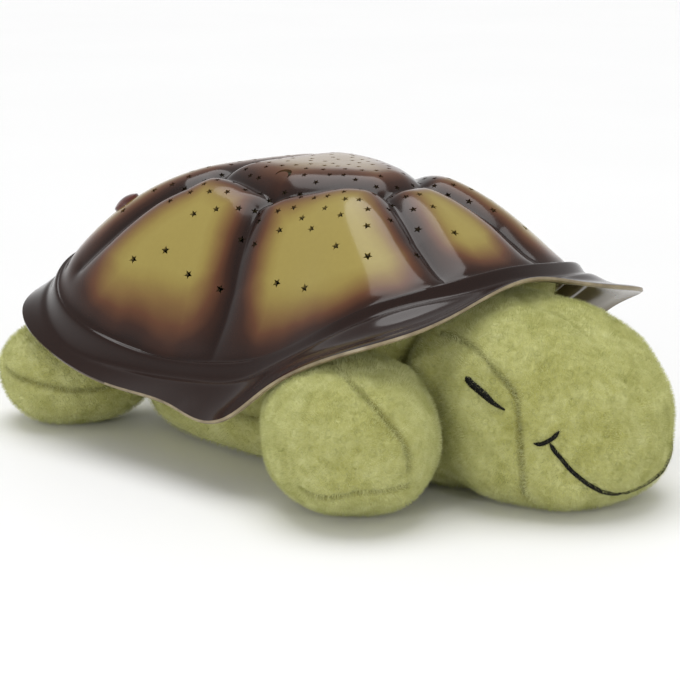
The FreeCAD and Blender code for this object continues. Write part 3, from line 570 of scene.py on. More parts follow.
# ------------------------------------------------------------------ plush
def plush_material(name, seed=0.0, shift=0.0):
    m = Mat(name)
    mp = m.node("ShaderNodeMapping")
    mp.inputs["Location"].default_value = (seed, seed * 0.7, -seed)
    m.link(m.co, mp.inputs["Vector"])
    co = mp.outputs[0]
    big = m.noise(38.0, 4.0, 0.62, 0.4, co)
    mid = m.noise(210.0, 4.0, 0.65, 0.6, co)
    fine = m.noise(1500.0, 2.0, 0.6, 0.0, co)
    k = m.math("ADD", m.math("MULTIPLY", big, 0.55), m.math("MULTIPLY", mid, 0.45))
    col = m.ramp(k, [(0.30, srgb(148 + shift, 146 + shift, 76)), (0.45, srgb(178 + shift, 177 + shift, 108)), (0.60, srgb(200 + shift, 200 + shift, 138)), (0.75, srgb(216 + shift, 217 + shift, 166))])
    col = m.mix(m.math("MULTIPLY", fine, 0.26), col, srgb(128, 128, 64))
    # painted shade: the pile darkens along the seams for the shade in their creases
    col = m.mix(m.math("MULTIPLY", m.attr("seam_shade"), 0.62), col, srgb(96, 92, 38))
    # small embossed rings pressed into the pile
    vor = m.node("ShaderNodeTexVoronoi", feature="F1")
    vor.inputs["Scale"].default_value = 175.0
    vor.inputs["Randomness"].default_value = 0.55
    m.link(co, vor.inputs["Vector"])
    ringd = m.math("ABSOLUTE", m.math("SUBTRACT", vor.outputs["Distance"], 0.30))
    ring = m.math("SUBTRACT", 1.0, m.math("DIVIDE", ringd, 0.10, True), True)
    col = m.mix(m.math("MULTIPLY", ring, 0.16), col, srgb(120, 124, 58))
    h = m.math("ADD", m.math("MULTIPLY", mid, 0.9), m.math("MULTIPLY", fine, 0.7))
    h = m.math("SUBTRACT", h, m.math("MULTIPLY", ring, 0.35))
    m.set(Base_Color=col, Roughness=0.92, Normal=m.bump(h, 0.65, 0.0011))
    m.set(Sheen_Weight=0.55, Sheen_Roughness=0.45, Sheen_Tint=srgb(228, 230, 176), Specular_IOR_Level=0.15)
    return m.m


def fuzz_material():
    m = Mat("pile_fuzz")
    n = m.noise(120.0, 3.0, 0.6)
    m.set(Base_Color=m.ramp(n, [(0.3, srgb(170, 172, 100)), (0.7, srgb(222, 223, 166))]), Roughness=0.9, Sheen_Weight=0.3, Specular_IOR_Level=0.1)
    return m.m


def loft(name, stations, ns=72, na=96):
    """closed soft form; stations(s, a) gives points for s in 0..1 along the length and angle a"""
    s = (1 - np.cos(np.linspace(0, np.pi, ns))) / 2
    s = s[1:-1]
    a = np.linspace(0, 2 * np.pi, na, endpoint=False)
    S, A = np.meshgrid(s, a, indexing="ij")
    P = stations(S.ravel(), A.ravel())
    e0 = stations(np.zeros(1), np.zeros(1))
    e1 = stations(np.ones(1), np.zeros(1))
    V = np.concatenate([P, e0, e1])
    faces = []
    i = np.arange(na)
    j = (i + 1) % na
    m = len(s)
    for k in range(m - 1):
        faces += np.stack([k * na + i, k * na + j, (k + 1) * na + j, (k + 1) * na + i], -1).tolist()
    faces += [[len(P), (q + 1) % na, q] for q in range(na)]
    faces += [[len(P) + 1, (m - 1) * na + q, (m - 1) * na + (q + 1) % na] for q in range(na)]
    o = link(name, V, faces)
    bm = bmesh.new()
    bm.from_mesh(o.data)
    bmesh.ops.recalc_face_normals(bm, faces=bm.faces)
    bm.to_mesh(o.data)
    bm.free()
    return o


def spow(v, p):
    return np.sign(v) * np.abs(v) ** p


def sqrt_interp(st, vals):
    f = cspline(np.sqrt(st), vals)
    return lambda s: f(np.sqrt(s))


def remesh(o, size):
    m = o.modifiers.new("r", "REMESH")
    m.mode, m.voxel_size = "VOXEL", size * MM
    m.use_smooth_shade = True
    return apply_mods(o)


def puff(o, seams, cap, voxel=4.5, pressure=3.2, frames=18, pin_w=5.0):
    """the filling presses the cloth out between its seams; seam points stay where they are"""
    remesh(o, voxel)
    P = coords(o)
    w = np.zeros(len(P))
    for L in seams:
        w = np.maximum(w, np.exp(-(line_dist(P, L) / pin_w) ** 2))
    w = np.maximum(w, smooth01(-P[:, 2], -2.5, -0.6))
    g = o.vertex_groups.new(name="held")
    for i, x in enumerate(w):
        g.add([i], float(x), "REPLACE")
    c = o.modifiers.new("cloth", "CLOTH")
    c.settings.quality = 6
    c.settings.mass = 0.25
    c.settings.tension_stiffness = 12
    c.settings.compression_stiffness = 12
    c.settings.shear_stiffness = 6
    c.settings.bending_stiffness = 0.4
    c.settings.use_pressure = True
    c.settings.uniform_pressure_force = pressure
    c.settings.vertex_group_mass = "held"
    c.settings.effector_weights.gravity = 0
    c.point_cache.frame_start, c.point_cache.frame_end = 1, frames
    for f in range(1, frames + 1):
        SCENE.frame_set(f)
    apply_mods(o)
    SCENE.frame_set(1)
    Q = coords(o)
    d = Q - P
    L = np.linalg.norm(d, axis=1)
    Q = P + d * (np.minimum(L, cap) / np.maximum(L, 1e-9))[:, None]
    Q[:, 2] = np.maximum(Q[:, 2], 0.0)
    set_coords(o, Q)
    o.vertex_groups.clear()
    return o


def refine(o, levels):
    m = o.modifiers.new("s", "SUBSURF")
    m.levels = m.render_levels = levels
    return apply_mods(o)


def finish_plush(o, seams, seed, seam_depth=2.0, seam_w=2.0, lumps=0.8, floor=True, valley=8.0, valley_depth=0.9):
    """creases the seams, adds slight lumps of filling and lets the underside lie flat"""
    P = coords(o)
    n = normals(o)
    d = np.full(len(P), 1e9)
    for L in seams:
        d = np.minimum(d, line_dist(P, L))
    pucker = 1 + 0.35 * lump(P, 5.0, seed + 5, 2)
    disp = -seam_depth * np.exp(-(d / seam_w) ** 2) * pucker - valley_depth * np.exp(-(d / valley) ** 2)
    disp += lumps * lump(P, 34.0, seed, 3) + 0.22 * lump(P, 5.5, seed + 1, 3)
    P = P + n * disp[:, None]
    if floor:
        z = P[:, 2]
        P[:, 2] = np.where(z < 3.0, 3.0 * np.exp((z - 3.0) / 3.0) * np.clip((z + 6) / 9.0, 0, 1), z)
        P[:, 2] = np.maximum(P[:, 2], 0.05)
    set_coords(o, P)
    # mask of the painted shade along the seam creases
    attribute(o, "seam_shade", np.exp(-(d / 2.2) ** 2))
    return o


def surface_points(o, pix, lift=0.0, flip=False):
    """points of the piece's surface under points of the picture, in millimetres"""
    bvh = BVHTree.FromPolygons([tuple(v) for v in coords(o)], [tuple(p.vertices) for p in o.data.polygons])
    out = []
    for u, v in pix:
        hit, n, i, dd = bvh.ray_cast(EYE, ray(u, v), 2500.0)
        if hit is not None:
            out.append(np.array(hit) + np.array(n) * lift * (1 if n.dot(ray(u, v)) < 0 else -1))
    return [np.array(p) for p in out]


def flip(L):
    return [np.array([-p[0], p[1], p[2]]) for p in L]


def resample(L, step):
    L = np.array(L, float)
    d = np.concatenate([[0], np.cumsum(np.linalg.norm(np.diff(L, axis=0), axis=1))])
    k = max(4, int(d[-1] / step))
    s = np.linspace(0, d[-1], k)
    if len(L) > 3:
        return np.stack([cspline(d, L[:, i])(s) for i in range(3)], -1)
    return np.stack([np.interp(s, d, L[:, i]) for i in range(3)], -1)


def project_on(o, pts, lift):
    bvh = BVHTree.FromPolygons([tuple(v) for v in coords(o)], [tuple(p.vertices) for p in o.data.polygons])
    out, nn = [], []
    for p in pts:
        hit, n, i, dd = bvh.find_nearest(Vector(p))
        c = np.array(hit) - np.array(p)
        out.append(np.array(hit) + np.array(n) * lift)
        nn.append(np.array(n))
    return np.array(out), np.array(nn)


def thread_line(name, lines, width, height, body="root", pitch=1.15):
    """satin stitch: a flat raised rope of slanting threads along each line; lines hold (points, normals, taper)"""
    verts, faces = [], []
    for pts, nn, taper in lines:
        k = len(pts)
        t = np.gradient(pts, axis=0)
        t /= np.linalg.norm(t, axis=1)[:, None]
        s = np.concatenate([[0], np.cumsum(np.linalg.norm(np.diff(pts, axis=0), axis=1))])
        side = np.cross(t, nn)
        side /= np.linalg.norm(side, axis=1)[:, None]
        base = len(verts)
        M = 14
        for i in range(k):
            f = min(1.0, s[i] / taper[0] + 0.25, (s[-1] - s[i]) / taper[1] + 0.25)
            if len(taper) > 2:      # the thread sinks into the pile in the middle of the line
                f *= min(1.0, max(0.35, (abs(pts[i][0]) - 3.0) / 12.0))
            for j in range(M):
                a = 2 * math.pi * j / M
                slant = 0.10 * math.sin(2 * math.pi * (s[i] + 0.9 * math.cos(a) * width) / pitch)
                w, h = width * f * (1 + slant), height * (0.55 + 0.45 * f) * (1 + 1.3 * slant)
                verts.append(pts[i] + side[i] * math.cos(a) * w + nn[i] * math.sin(a) * h)
        for i in range(k - 1):
            for j in range(M):
                q = (j + 1) % M
                faces.append([base + i * M + j, base + i * M + q, base + (i + 1) * M + q, base + (i + 1) * M + j])
        faces.append([base + j for j in range(M)][::-1])
        faces.append([base + (k - 1) * M + j for j in range(M)])
    o = link(name, verts, faces)
    return o


def fuzz(o, count, length, mat_slot=2, seed=1):
    m = o.modifiers.new("fuzz", "PARTICLE_SYSTEM")
    ps = m.particle_system
    ps.seed = seed
    st = ps.settings
    st.type = "HAIR"
    st.count = count
    st.hair_length = length * MM
    st.hair_step = 3
    st.render_step = 2
    st.emit_from = "FACE"
    st.use_emit_random = True
    st.use_even_distribution = True
    st.distribution = "RAND"
    st.use_modifier_stack = False
    st.brownian_factor = 0.0
    st.factor_random = 0.16 * MM
    st.child_type = "NONE"
    st.root_radius, st.tip_radius, st.radius_scale = 1.0, 0.25, 0.00011
    st.shape = 0.0
    st.material = mat_slot
    return m


PLUSH = plush_material("plush_velour", 0.0)
PLUSH2 = plush_material("plush_velour_paws", 3.0, -3)
FUZZ = fuzz_material()


def dress(o, mat):
    o.data.materials.clear()
    o.data.materials.append(mat)
    o.data.materials.append(FUZZ)


# ---- head
ST = np.array([0, .06, .16, .3, .5, .7, .88, 1.0])
HW = sqrt_interp(ST, [0, 26, 41, 51, 56, 55, 45, 0])
HT = sqrt_interp(ST, [42, 61.5, 71.5, 82, 90, 92, 82, 50])
HB = sqrt_interp(ST, [38, 14, 3, 0, 0, 0, 6, 40])
HEAD_Y0, HEAD_Y1 = -199.0, -72.0


def head_form(s, a):
    w, t, b = HW(s), HT(s), HB(s)
    mid = b + (t - b) * 0.46
    c, z = np.cos(a), np.sin(a)
    up = z > 0
    n = np.where(up, 2 / 2.6, 2 / 2.9)
    x = w * np.sign(c) * np.abs(c) ** n
    h = np.where(up, t - mid, mid - b)
    zz = mid + h * np.sign(z) * np.abs(z) ** n
    return np.stack([x, HEAD_Y0 + (HEAD_Y1 - HEAD_Y0) * s + Y0, zz], -1)


head = loft("plush_head_skin", head_form)
S1_PIX = [(440, 331), (452, 334), (464, 340), (480, 354), (500, 376), (514, 394), (518, 415), (519, 438), (520, 460), (521, 483), (524, 498), (533, 503)]
s1 = resample(surface_points(head, S1_PIX), 3.0)
s2 = [np.array(p, float) for p in ((0, -80 + Y0, 96), (0, -110 + Y0, 95), (0, -137 + Y0, 90), (0, -149 + Y0, 85), (0, -160 + Y0, 80), (0, -170 + Y0, 74), (0, -178 + Y0, 68))]
s2, _ = project_on(head, resample(s2, 3.0), 0.0)
HEAD_SEAMS = [s1, flip(s1), s2]
puff(head, HEAD_SEAMS, 2.2, 4.0, 2.6, 16, 4.5)
refine(head, 2)
s1f, _ = project_on(head, s1, 0.0)
s2f, _ = project_on(head, s2, 0.0)
finish_plush(head, [s1f, np.array(flip(s1f))], 11, 1.5, 1.5, 0.7)
P = coords(head)
fade = smooth01(P[:, 1] - Y0, -186, -150)
d2 = line_dist(P, s2f)
set_coords(head, P - normals(head) * ((1.3 * np.exp(-(d2 / 1.4) ** 2) + 1.2 * np.exp(-(d2 / 9.0) ** 2)) * fade)[:, None])
# hollow around the closed eye
eye_px = [(467, 377), (472, 384), (478, 389), (487, 397), (495, 404), (505, 410)]
eye_c = surface_points(head, [(486, 396)])[0]
for c in (eye_c, eye_c * np.array([-1, 1, 1])):
    P = coords(head)
    dd = np.linalg.norm((P - c) * np.array([1, 1.0, 1.2]), axis=1)
    set_coords(head, P - normals(head) * (1.8 * np.exp(-(dd / 13.0) ** 2) - 1.0 * np.exp(-((dd - 19) / 7.0) ** 2))[:, None])
dress(head, PLUSH)
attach(head, "root")
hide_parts("plush_head")

# ---- embroidered eyes and mouth
THREAD = Mat("thread_black")
tn = THREAD.noise(900.0, 3.0, 0.6)
THREAD.set(Base_Color=THREAD.ramp(tn, [(0.3, srgb(5, 5, 4)), (0.8, srgb(14, 13, 10))]), Roughness=0.6, Specular_IOR_Level=0.15, Normal=THREAD.bump(tn, 0.5, 0.0004))


def stitched(pix, lift, step=0.35):
    pts = surface_points(head, pix)
    pts = resample(pts, step)
    return project_on(head, pts, lift + 0.45)


ep, en = stitched(eye_px, 0.15)
mp_, mn_ = stitched([(550, 443), (555, 451), (561, 458), (571, 470), (584, 481), (600, 490), (614, 493)], 0.15)
# the smile closes symmetrically under the nose
half = resample(surface_points(head, [(550, 443), (555, 451), (561, 458), (571, 470), (584, 481), (600, 490), (614, 493), (628, 491), (641, 486), (652, 478)]), 0.5)
half = half[half[:, 0] < -0.5]
whole = np.concatenate([half, [[0.0, half[-1][1] - 0.3, half[-1][2]]], np.array(flip(half))[::-1]])
sm_p, sm_n = project_on(head, resample(whole, 0.35), 0.6)
tk_p, tk_n = stitched([(534, 443), (541, 444), (548, 441), (554, 437), (559, 431)], 0.2)


def mirrored(p, n):
    q, m = p.copy(), n.copy()
    q[:, 0] *= -1
    m[:, 0] *= -1
    return q[::-1], m[::-1]


mouth = thread_line("mouth_embroidery", [(sm_p, sm_n, (3.0, 3.0, 1)), (tk_p, tk_n, (3.0, 3.0)), (*mirrored(tk_p, tk_n), (3.0, 3.0))], 1.0, 0.9)
eyes = thread_line("eye_embroidery", [(ep, en, (1.6, 17.0)), (*mirrored(ep, en), (17.0, 1.6))], 1.7, 1.1)
for o, node in ((mouth, "mouth_stitching"), (eyes, "eye_stitching")):
    o.data.materials.append(THREAD.m)
    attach(o, "root")
    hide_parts(node)


# ---- paws
def paw_form(c, ax, yaw, e1=0.92, e2=0.86, droop=0.0):
    t = math.radians(yaw)
    Ld = np.array([-math.sin(t), -math.cos(t), 0.0])
    Wd = np.array([math.cos(t), -math.sin(t), 0.0])

    def f(s, a):
        u = np.pi * s
        ca = spow(np.cos(u), e2)
        r = np.abs(np.sin(u)) ** e1
        l = ax[0] * ca
        w = ax[1] * r * spow(np.cos(a), e2)
        h = ax[2] * r * spow(np.sin(a), e1)
        taper = 1 - 0.12 * np.clip(-l / ax[0], 0, 1)
        P = np.array(c) + l[:, None] * Ld + (w * taper)[:, None] * Wd
        P = np.concatenate([P[:, :2], (c[2] + h * taper - droop * np.clip(l / ax[0], 0, 1) ** 2)[:, None]], 1)
        P[:, 2] = np.maximum(P[:, 2], 0.0)
        P[:, 1] += Y0
        return P
    return f


FPC, FPA, FPY = (-84.0, -86.5, 35.0), (62.0, 41.0, 35.5), 36.0
RPC, RPA, RPY = (-88.0, 125.0, 28.5), (42.0, 36.0, 28.5), 125.0
fpaw = loft("front_paw_right_skin", paw_form(FPC, FPA, FPY), 56, 84)
fs_pix = [(333, 366), (347, 378), (361, 391), (376, 406), (390, 422), (401, 437), (409, 454), (411, 470)]
fs = resample(surface_points(fpaw, fs_pix), 3.0)
fsole = resample(surface_points(fpaw, [(300, 490), (323, 498), (351, 495), (380, 493), (409, 487), (424, 484), (436, 474)]), 3.0)
puff(fpaw, [fs, fsole], 1.6, 4.0, 2.6, 16, 4.5)
refine(fpaw, 2)
fsf, _ = project_on(fpaw, fs, 0.0)
fsolef, _ = project_on(fpaw, fsole, 0.0)
finish_plush(fpaw, [fsf, fsolef], 23, 1.2, 1.3, 0.9, valley_depth=0.6)

rpaw = loft("rear_paw_right_skin", paw_form(RPC, RPA, RPY), 48, 72)
rs = resample(surface_points(rpaw, [(4, 366), (8, 372), (22, 379), (38, 384), (54, 388), (69, 391), (88, 391), (107, 388), (125, 383)]), 3.0)
puff(rpaw, [rs], 1.4, 4.0, 2.4, 14, 4.5)
refine(rpaw, 2)
rsf, _ = project_on(rpaw, rs, 0.0)
finish_plush(rpaw, [rsf], 37, 1.1, 1.3, 0.8, valley_depth=0.6)


def twin(o, name):
    """the other side's piece: mirrored, with its own slight lumps"""
    me = o.data.copy()
    t = bpy.data.objects.new(name, me)
    SCENE.collection.objects.link(t)
    P = coords(t)
    P[:, 0] *= -1
    set_coords(t, P)
    bm = bmesh.new()
    bm.from_mesh(me)
    bmesh.ops.reverse_faces(bm, faces=bm.faces)
    bm.to_mesh(me)
    bm.free()
    P = coords(t)
    P = P + normals(t) * (0.5 * lump(P, 30.0, 71, 2))[:, None] * smooth01(P[:, 2], 2, 10)[:, None]
    set_coords(t, P)
    return t


fleft = twin(fpaw, "front_paw_left_skin")
P = coords(fleft) + np.array([-14.0, 16.0, 0.0])
mid = np.array([72.0, -70.0 + Y0, 0.0])
set_coords(fleft, mid + (P - mid) * np.array([0.93, 0.93, 0.93]) + np.array([-5.0, 6.0, 0.0]))
rleft = twin(rpaw, "rear_paw_left_skin")
for o, node in ((fpaw, "front_paw_right"), (fleft, "front_paw_left"), (rpaw, "rear_paw_right"), (rleft, "rear_paw_left")):
    dress(o, PLUSH2)
    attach(o, "root")
    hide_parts(node)

# ---- tail
tail = loft("plush_tail_skin", paw_form((0.0, 136.0, 22.0), (29.0, 17.0, 13.0), 180.0, 0.95, 0.95), 40, 56)
tail_seam = resample([np.array((0.0, 118.0 + Y0, 36.0)), np.array((0.0, 140.0 + Y0, 36.0)), np.array((0.0, 156.0 + Y0, 31.0)), np.array((0.0, 166.0 + Y0, 23.0))], 2.5)
tail_seam, _ = project_on(tail, tail_seam, 0)
puff(tail, [tail_seam], 1.5, 3.0, 2.0, 12, 3.0)
refine(tail, 2)
finish_plush(tail, [tail_seam], 41, 1.2, 1.3, 0.5, floor=False)
dress(tail, PLUSH)
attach(tail, "root")
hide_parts("plush_tail")


# ---- torso: a soft ring under the shell, with a hollow for the tub and a recess for the belly flap
def torso_skin():
    NA = 120
    ang = np.linspace(0, 2 * np.pi, NA, endpoint=False)
    deg = np.degrees(ang)
    deg = np.where(deg > 180, 360 - deg, deg)
    rb, zb = bead_r(deg), bead_z(deg)
    sx, cy = -np.sin(ang), -np.cos(ang)

    def rr_(A, B, n):
        return (np.abs(sx / A) ** n + np.abs(cy / B) ** n) ** (-1.0 / n)
    low = rr_(86.0, 108.0, 2.6)
    rows = []
    # (radius, height) round the soft section, from the belly outwards and over the collar to the well
    prof = [(0.0, 0.3), (0.35, 0.3), (0.62, 0.3), (0.74, 0.4), (0.83, 1.6), (0.90, 5.0), (0.955, 11.0), (0.99, 20.0), (1.0, 30.0), (0.985, 41.0)]
    for f, z in prof:
        rows.append((low * f, np.full(NA, z)))
    topz = zb - 6.0
    for k in range(1, 9):
        t = k / 8.0
        r = low * 0.985 * (1 - t) + rb * 0.955 * t
        z = 41.0 * (1 - t) + (topz) * t
        z = np.minimum(z, topz)
        rows.append((r, z))
    rows.append((rb * 0.93, topz + 2.2))
    rows.append((rb * 0.88, topz + 2.6))
    rows.append((rb * 0.83, topz + 1.0))
    rows.append((rb * 0.80, topz * 0.6 + 52 * 0.4))
    rows.append((rr_(78.0, 93.0, 4.0), np.full(NA, 53.0)))
    rows.append((rr_(77.0, 92.0, 4.0), np.full(NA, 50.3)))
    rows.append((rr_(40.0, 50.0, 4.0), np.full(NA, 50.2)))
    V = []
    for r, z in rows[1:]:
        V.append(np.stack([sx * r, YC + 3 + cy * r + Y0, z + 0 * r], -1))
    V = np.concatenate(V)
    n = len(rows) - 1
    faces = []
    i = np.arange(NA)
    j = (i + 1) % NA
    for k in range(n - 1):
        faces += np.stack([k * NA + i, k * NA + j, (k + 1) * NA + j, (k + 1) * NA + i], -1).tolist()
    c0 = len(V)
    V = np.concatenate([V, [[0, YC + 3 + Y0, 0.3], [0, YC + 3 + Y0, 50.2]]])
    faces += [[c0, (q + 1) % NA, q] for q in range(NA)]
    faces += [[c0 + 1, (n - 1) * NA + q, (n - 1) * NA + (q + 1) % NA] for q in range(NA)]
    o = link("plush_torso_skin", V, faces)
    bm = bmesh.new()
    bm.from_mesh(o.data)
    bmesh.ops.recalc_face_normals(bm, faces=bm.faces)
    bm.to_mesh(o.data)
    bm.free()
    return o


torso = torso_skin()
belly_line = []
for k in range(73):
    a = 2 * math.pi * k / 72
    q = (abs(math.sin(a) / 70.0) ** 2.6 + abs(math.cos(a) / 91.0) ** 2.6) ** (-1 / 2.6)
    belly_line.append(np.array([-math.sin(a) * q, YC + 3 - math.cos(a) * q + Y0, 1.5]))
side_line = []
for k in range(73):
    a = 2 * math.pi * k / 72
    q = (abs(math.sin(a) / 86.0) ** 2.6 + abs(math.cos(a) / 108.0) ** 2.6) ** (-1 / 2.6)
    side_line.append(np.array([-math.sin(a) * q, YC + 3 - math.cos(a) * q + Y0, 27.0]))
refine(torso, 1)
puff(torso, [belly_line, side_line], 2.0, 3.6, 1.6, 12, 4.0)
refine(torso, 1)
finish_plush(torso, [np.array(belly_line), np.array(side_line)], 53, 1.2, 1.6, 0.6)
P = coords(torso)
P[:, 2] = np.where(P[:, 2] < 0.3, 0.3, P[:, 2])
set_coords(torso, P)


def slab(name, x0, x1, y0, y1, z0, z1, r=0.0):
    """closed block with rounded corners in plan, in the modelling frame"""
    if r <= 0:
        ring = [(x0, y0), (x1, y0), (x1, y1), (x0, y1)]
    else:
        ring = []
        for cx, cy, a0 in ((x1 - r, y1 - r, 0), (x0 + r, y1 - r, 90), (x0 + r, y0 + r, 180), (x1 - r, y0 + r, 270)):
            for k in range(9):
                a = math.radians(a0 + 90 * k / 8)
                ring.append((cx + r * math.cos(a), cy + r * math.sin(a)))
    n = len(ring)
    V = [(x, y + Y0, z0) for x, y in ring] + [(x, y + Y0, z1) for x, y in ring]
    F = [list(range(n))[::-1], list(range(n, 2 * n))] + [[i, (i + 1) % n, n + (i + 1) % n, n + i] for i in range(n)]
    return link(name, V, F, False)


def cut_away(o, *cutters):
    for c in cutters:
        m = o.modifiers.new("c", "BOOLEAN")
        m.operation, m.solver, m.object = "DIFFERENCE", "EXACT", c
        apply_mods(o)
        bpy.data.objects.remove(c)
    return o


cut_away(torso,
         slab("c1", -65.6, 65.6, 14 - 74.6, 14 + 74.6, 19.4, 80, 20.5),
         slab("c2", -30, 30, -26.5, 50, -5, 20.5),
         slab("c3", -34.5, 34.5, -40.6, 60.0, -5, 3.8, 4.0))
torso.data.set_sharp_from_angle(angle=math.radians(50))
dress(torso, PLUSH)
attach(torso, "root")
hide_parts("plush_torso", "plush_collar", "belly_panel")

# piping round the flap's recess
BELLY = Mat("belly_cloth")
wv = BELLY.node("ShaderNodeTexWave", wave_type="BANDS", bands_direction="X")
wv.inputs["Scale"].default_value = 520.0
BELLY.link(BELLY.co, wv.inputs["Vector"])
wv2 = BELLY.node("ShaderNodeTexWave", wave_type="BANDS", bands_direction="Y")
wv2.inputs["Scale"].default_value = 520.0
BELLY.link(BELLY.co, wv2.inputs["Vector"])
weave = BELLY.math("MULTIPLY", wv.outputs["Fac"], wv2.outputs["Fac"])
bn = BELLY.noise(60.0, 4.0, 0.6)
BELLY.set(Base_Color=BELLY.mix(BELLY.math("MULTIPLY", weave, 0.5), BELLY.ramp(bn, [(0.3, srgb(120, 126, 62)), (0.7, srgb(150, 154, 84))]), srgb(104, 108, 54)), Roughness=0.85, Sheen_Weight=0.25, Normal=BELLY.bump(weave, 0.4, 0.0004))


def loop_tube(name, ring, r, mat, m=10):
    L = np.array(ring, float)
    L[:, 1] += Y0
    n = len(L)
    t = np.roll(L, -1, 0) - np.roll(L, 1, 0)
    t /= np.linalg.norm(t, axis=1)[:, None]
    up = np.array([0, 0, 1.0])
    side = np.cross(t, up)
    V, F = [], []
    for i in range(n):
        for j in range(m):
            a = 2 * math.pi * j / m
            V.append(L[i] + side[i] * math.cos(a) * r + up * math.sin(a) * r)
    for i in range(n):
        for j in range(m):
            a, b = i, (i + 1) % n
            F.append([a * m + j, a * m + (j + 1) % m, b * m + (j + 1) % m, b * m + j])
    o = link(name, V, F)
    o.data.materials.append(mat)
    return o


def round_rect(x0, x1, y0, y1, r, z, step=1.5):
    pts = []
    for cx, cy, a0 in ((x1 - r, y1 - r, 0), (x0 + r, y1 - r, 90), (x0 + r, y0 + r, 180), (x1 - r, y0 + r, 270)):
        for k in range(7):
            a = math.radians(a0 + 90 * k / 6)
            pts.append((cx + r * math.cos(a), cy + r * math.sin(a), z))
    L = np.array(pts + [pts[0]])
    d = np.concatenate([[0], np.cumsum(np.linalg.norm(np.diff(L, axis=0), axis=1))])
    s = np.linspace(0, d[-1], int(d[-1] / step), endpoint=False)
    return np.stack([np.interp(s, d, L[:, i]) for i in range(3)], -1)


piping = loop_tube("recess_piping", round_rect(-35.3, 35.3, -41.4, 60.8, 4.5, 1.35), 1.0, BELLY.m)
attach(piping, "root")


def flap_mesh():
    """the belly flap: two layers of cloth with a stitched, rounded hem"""
    nx, ny = 60, 84
    xs, ys = np.linspace(-33, 33, nx), np.linspace(-37, 58, ny)
    X, Y = np.meshgrid(xs, ys, indexing="ij")
    ex = np.minimum(X + 33, 33 - X)
    ey = np.minimum(Y + 37, 58 - Y)
    e = np.minimum(ex, ey)
    th = 0.75 * np.clip(e / 1.2, 0, 1) ** 0.5 - 0.22 * np.exp(-((e - 3.2) / 0.7) ** 2)
    P = np.stack([X.ravel(), Y.ravel(), np.zeros(X.size)], -1)
    bulge = 0.18 * lump(P, 22.0, 91, 2).reshape(X.shape) * np.clip(e / 6, 0, 1)
    mid = 1.6
    top = np.stack([X, Y + Y0, mid + th + 0.2 + bulge * 0.4], -1).reshape(-1, 3)
    bot = np.stack([X, Y + Y0, mid - th - 0.15 - bulge * 0.4], -1).reshape(-1, 3)
    V = np.concatenate([top, bot])
    idx = np.arange(nx * ny).reshape(nx, ny)
    n = nx * ny
    F = []
    for i in range(nx - 1):
        for j in range(ny - 1):
            F.append([idx[i, j], idx[i + 1, j], idx[i + 1, j + 1], idx[i, j + 1]])
            F.append([n + idx[i, j + 1], n + idx[i + 1, j + 1], n + idx[i + 1, j], n + idx[i, j]])
    loop = list(idx[:, 0]) + list(idx[-1, 1:]) + list(idx[-2::-1, -1]) + list(idx[0, -2:0:-1])
    for a, b in zip(loop, loop[1:] + loop[:1]):
        F.append([b, a, n + a, n + b])
    o = link("belly_flap_skin", V, F)
    bm = bmesh.new()
    bm.from_mesh(o.data)
    bmesh.ops.recalc_face_normals(bm, faces=bm.faces)
    bm.to_mesh(o.data)
    bm.free()
    o.data.materials.append(BELLY.m)
    return o


flap = flap_mesh()
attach(flap, "belly_flap")
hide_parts("belly_flap")

# ------------------------------------------------------------------ shell in place
shell, rim_faces = build_shell()
SHELL_MAT = shell_material()
shell.data.materials.clear()
shell.data.materials.append(SHELL_MAT)
shell.data.materials.append(edge_and_highlight_material())
# the moulded edge shows as a thin paler line: partly the raw plastic's own tone, partly a painted highlight along
# the outer lip
which = np.zeros(len(shell.data.polygons), np.int32)
which[rim_faces] = 1
shell.data.polygons.foreach_set("material_index", which)
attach(shell, "root")
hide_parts("star_shell")


# ------------------------------------------------------------------ finishes of the carried-over pieces
def plastic(name, dark, light, rough=0.45, scale=140.0, bump=0.12, coat=0.0):
    m = Mat(name)
    n = m.noise(scale, 4.0, 0.6)
    g = m.noise(scale * 9, 2.0, 0.5)
    m.set(Base_Color=m.ramp(n, [(0.3, dark), (0.7, light)]), Roughness=m.math("ADD", m.math("MULTIPLY", g, 0.15), rough - 0.07), Normal=m.bump(g, bump, 0.0003))
    m.set(Coat_Weight=coat, Coat_Roughness=0.06)
    return m.m


def metal(name, col, rough=0.3):
    m = Mat(name)
    n = m.noise(700.0, 3.0, 0.6)
    m.set(Base_Color=m.mix(m.math("MULTIPLY", n, 0.35), col, tuple(c * 0.55 for c in col)), Roughness=m.math("ADD", m.math("MULTIPLY", n, 0.2), rough - 0.1), Normal=m.bump(n, 0.1, 0.0002))
    m.set(Metallic=1.0)
    return m.m


def board_mat():
    m = Mat("circuit_green")
    br = m.node("ShaderNodeTexBrick")
    br.inputs["Scale"].default_value = 160.0
    br.inputs["Mortar Size"].default_value = 0.03
    m.link(m.co, br.inputs["Vector"])
    n = m.noise(300.0, 3.0, 0.6)
    m.set(Base_Color=m.mix(m.math("MULTIPLY", br.outputs["Fac"], 0.7), m.ramp(n, [(0.3, srgb(14, 70, 34)), (0.7, srgb(24, 96, 46))]), srgb(60, 130, 60)), Roughness=0.35, Normal=m.bump(br.outputs["Fac"], 0.2, 0.0002))
    return m.m


def lens(name, col):
    m = Mat(name)
    n = m.noise(200.0, 2.0, 0.5)
    m.set(Base_Color=m.mix(m.math("MULTIPLY", n, 0.3), col, tuple(min(1, c * 1.4) for c in col)), Roughness=0.08, Transmission_Weight=0.5, IOR=1.5)
    return m.m


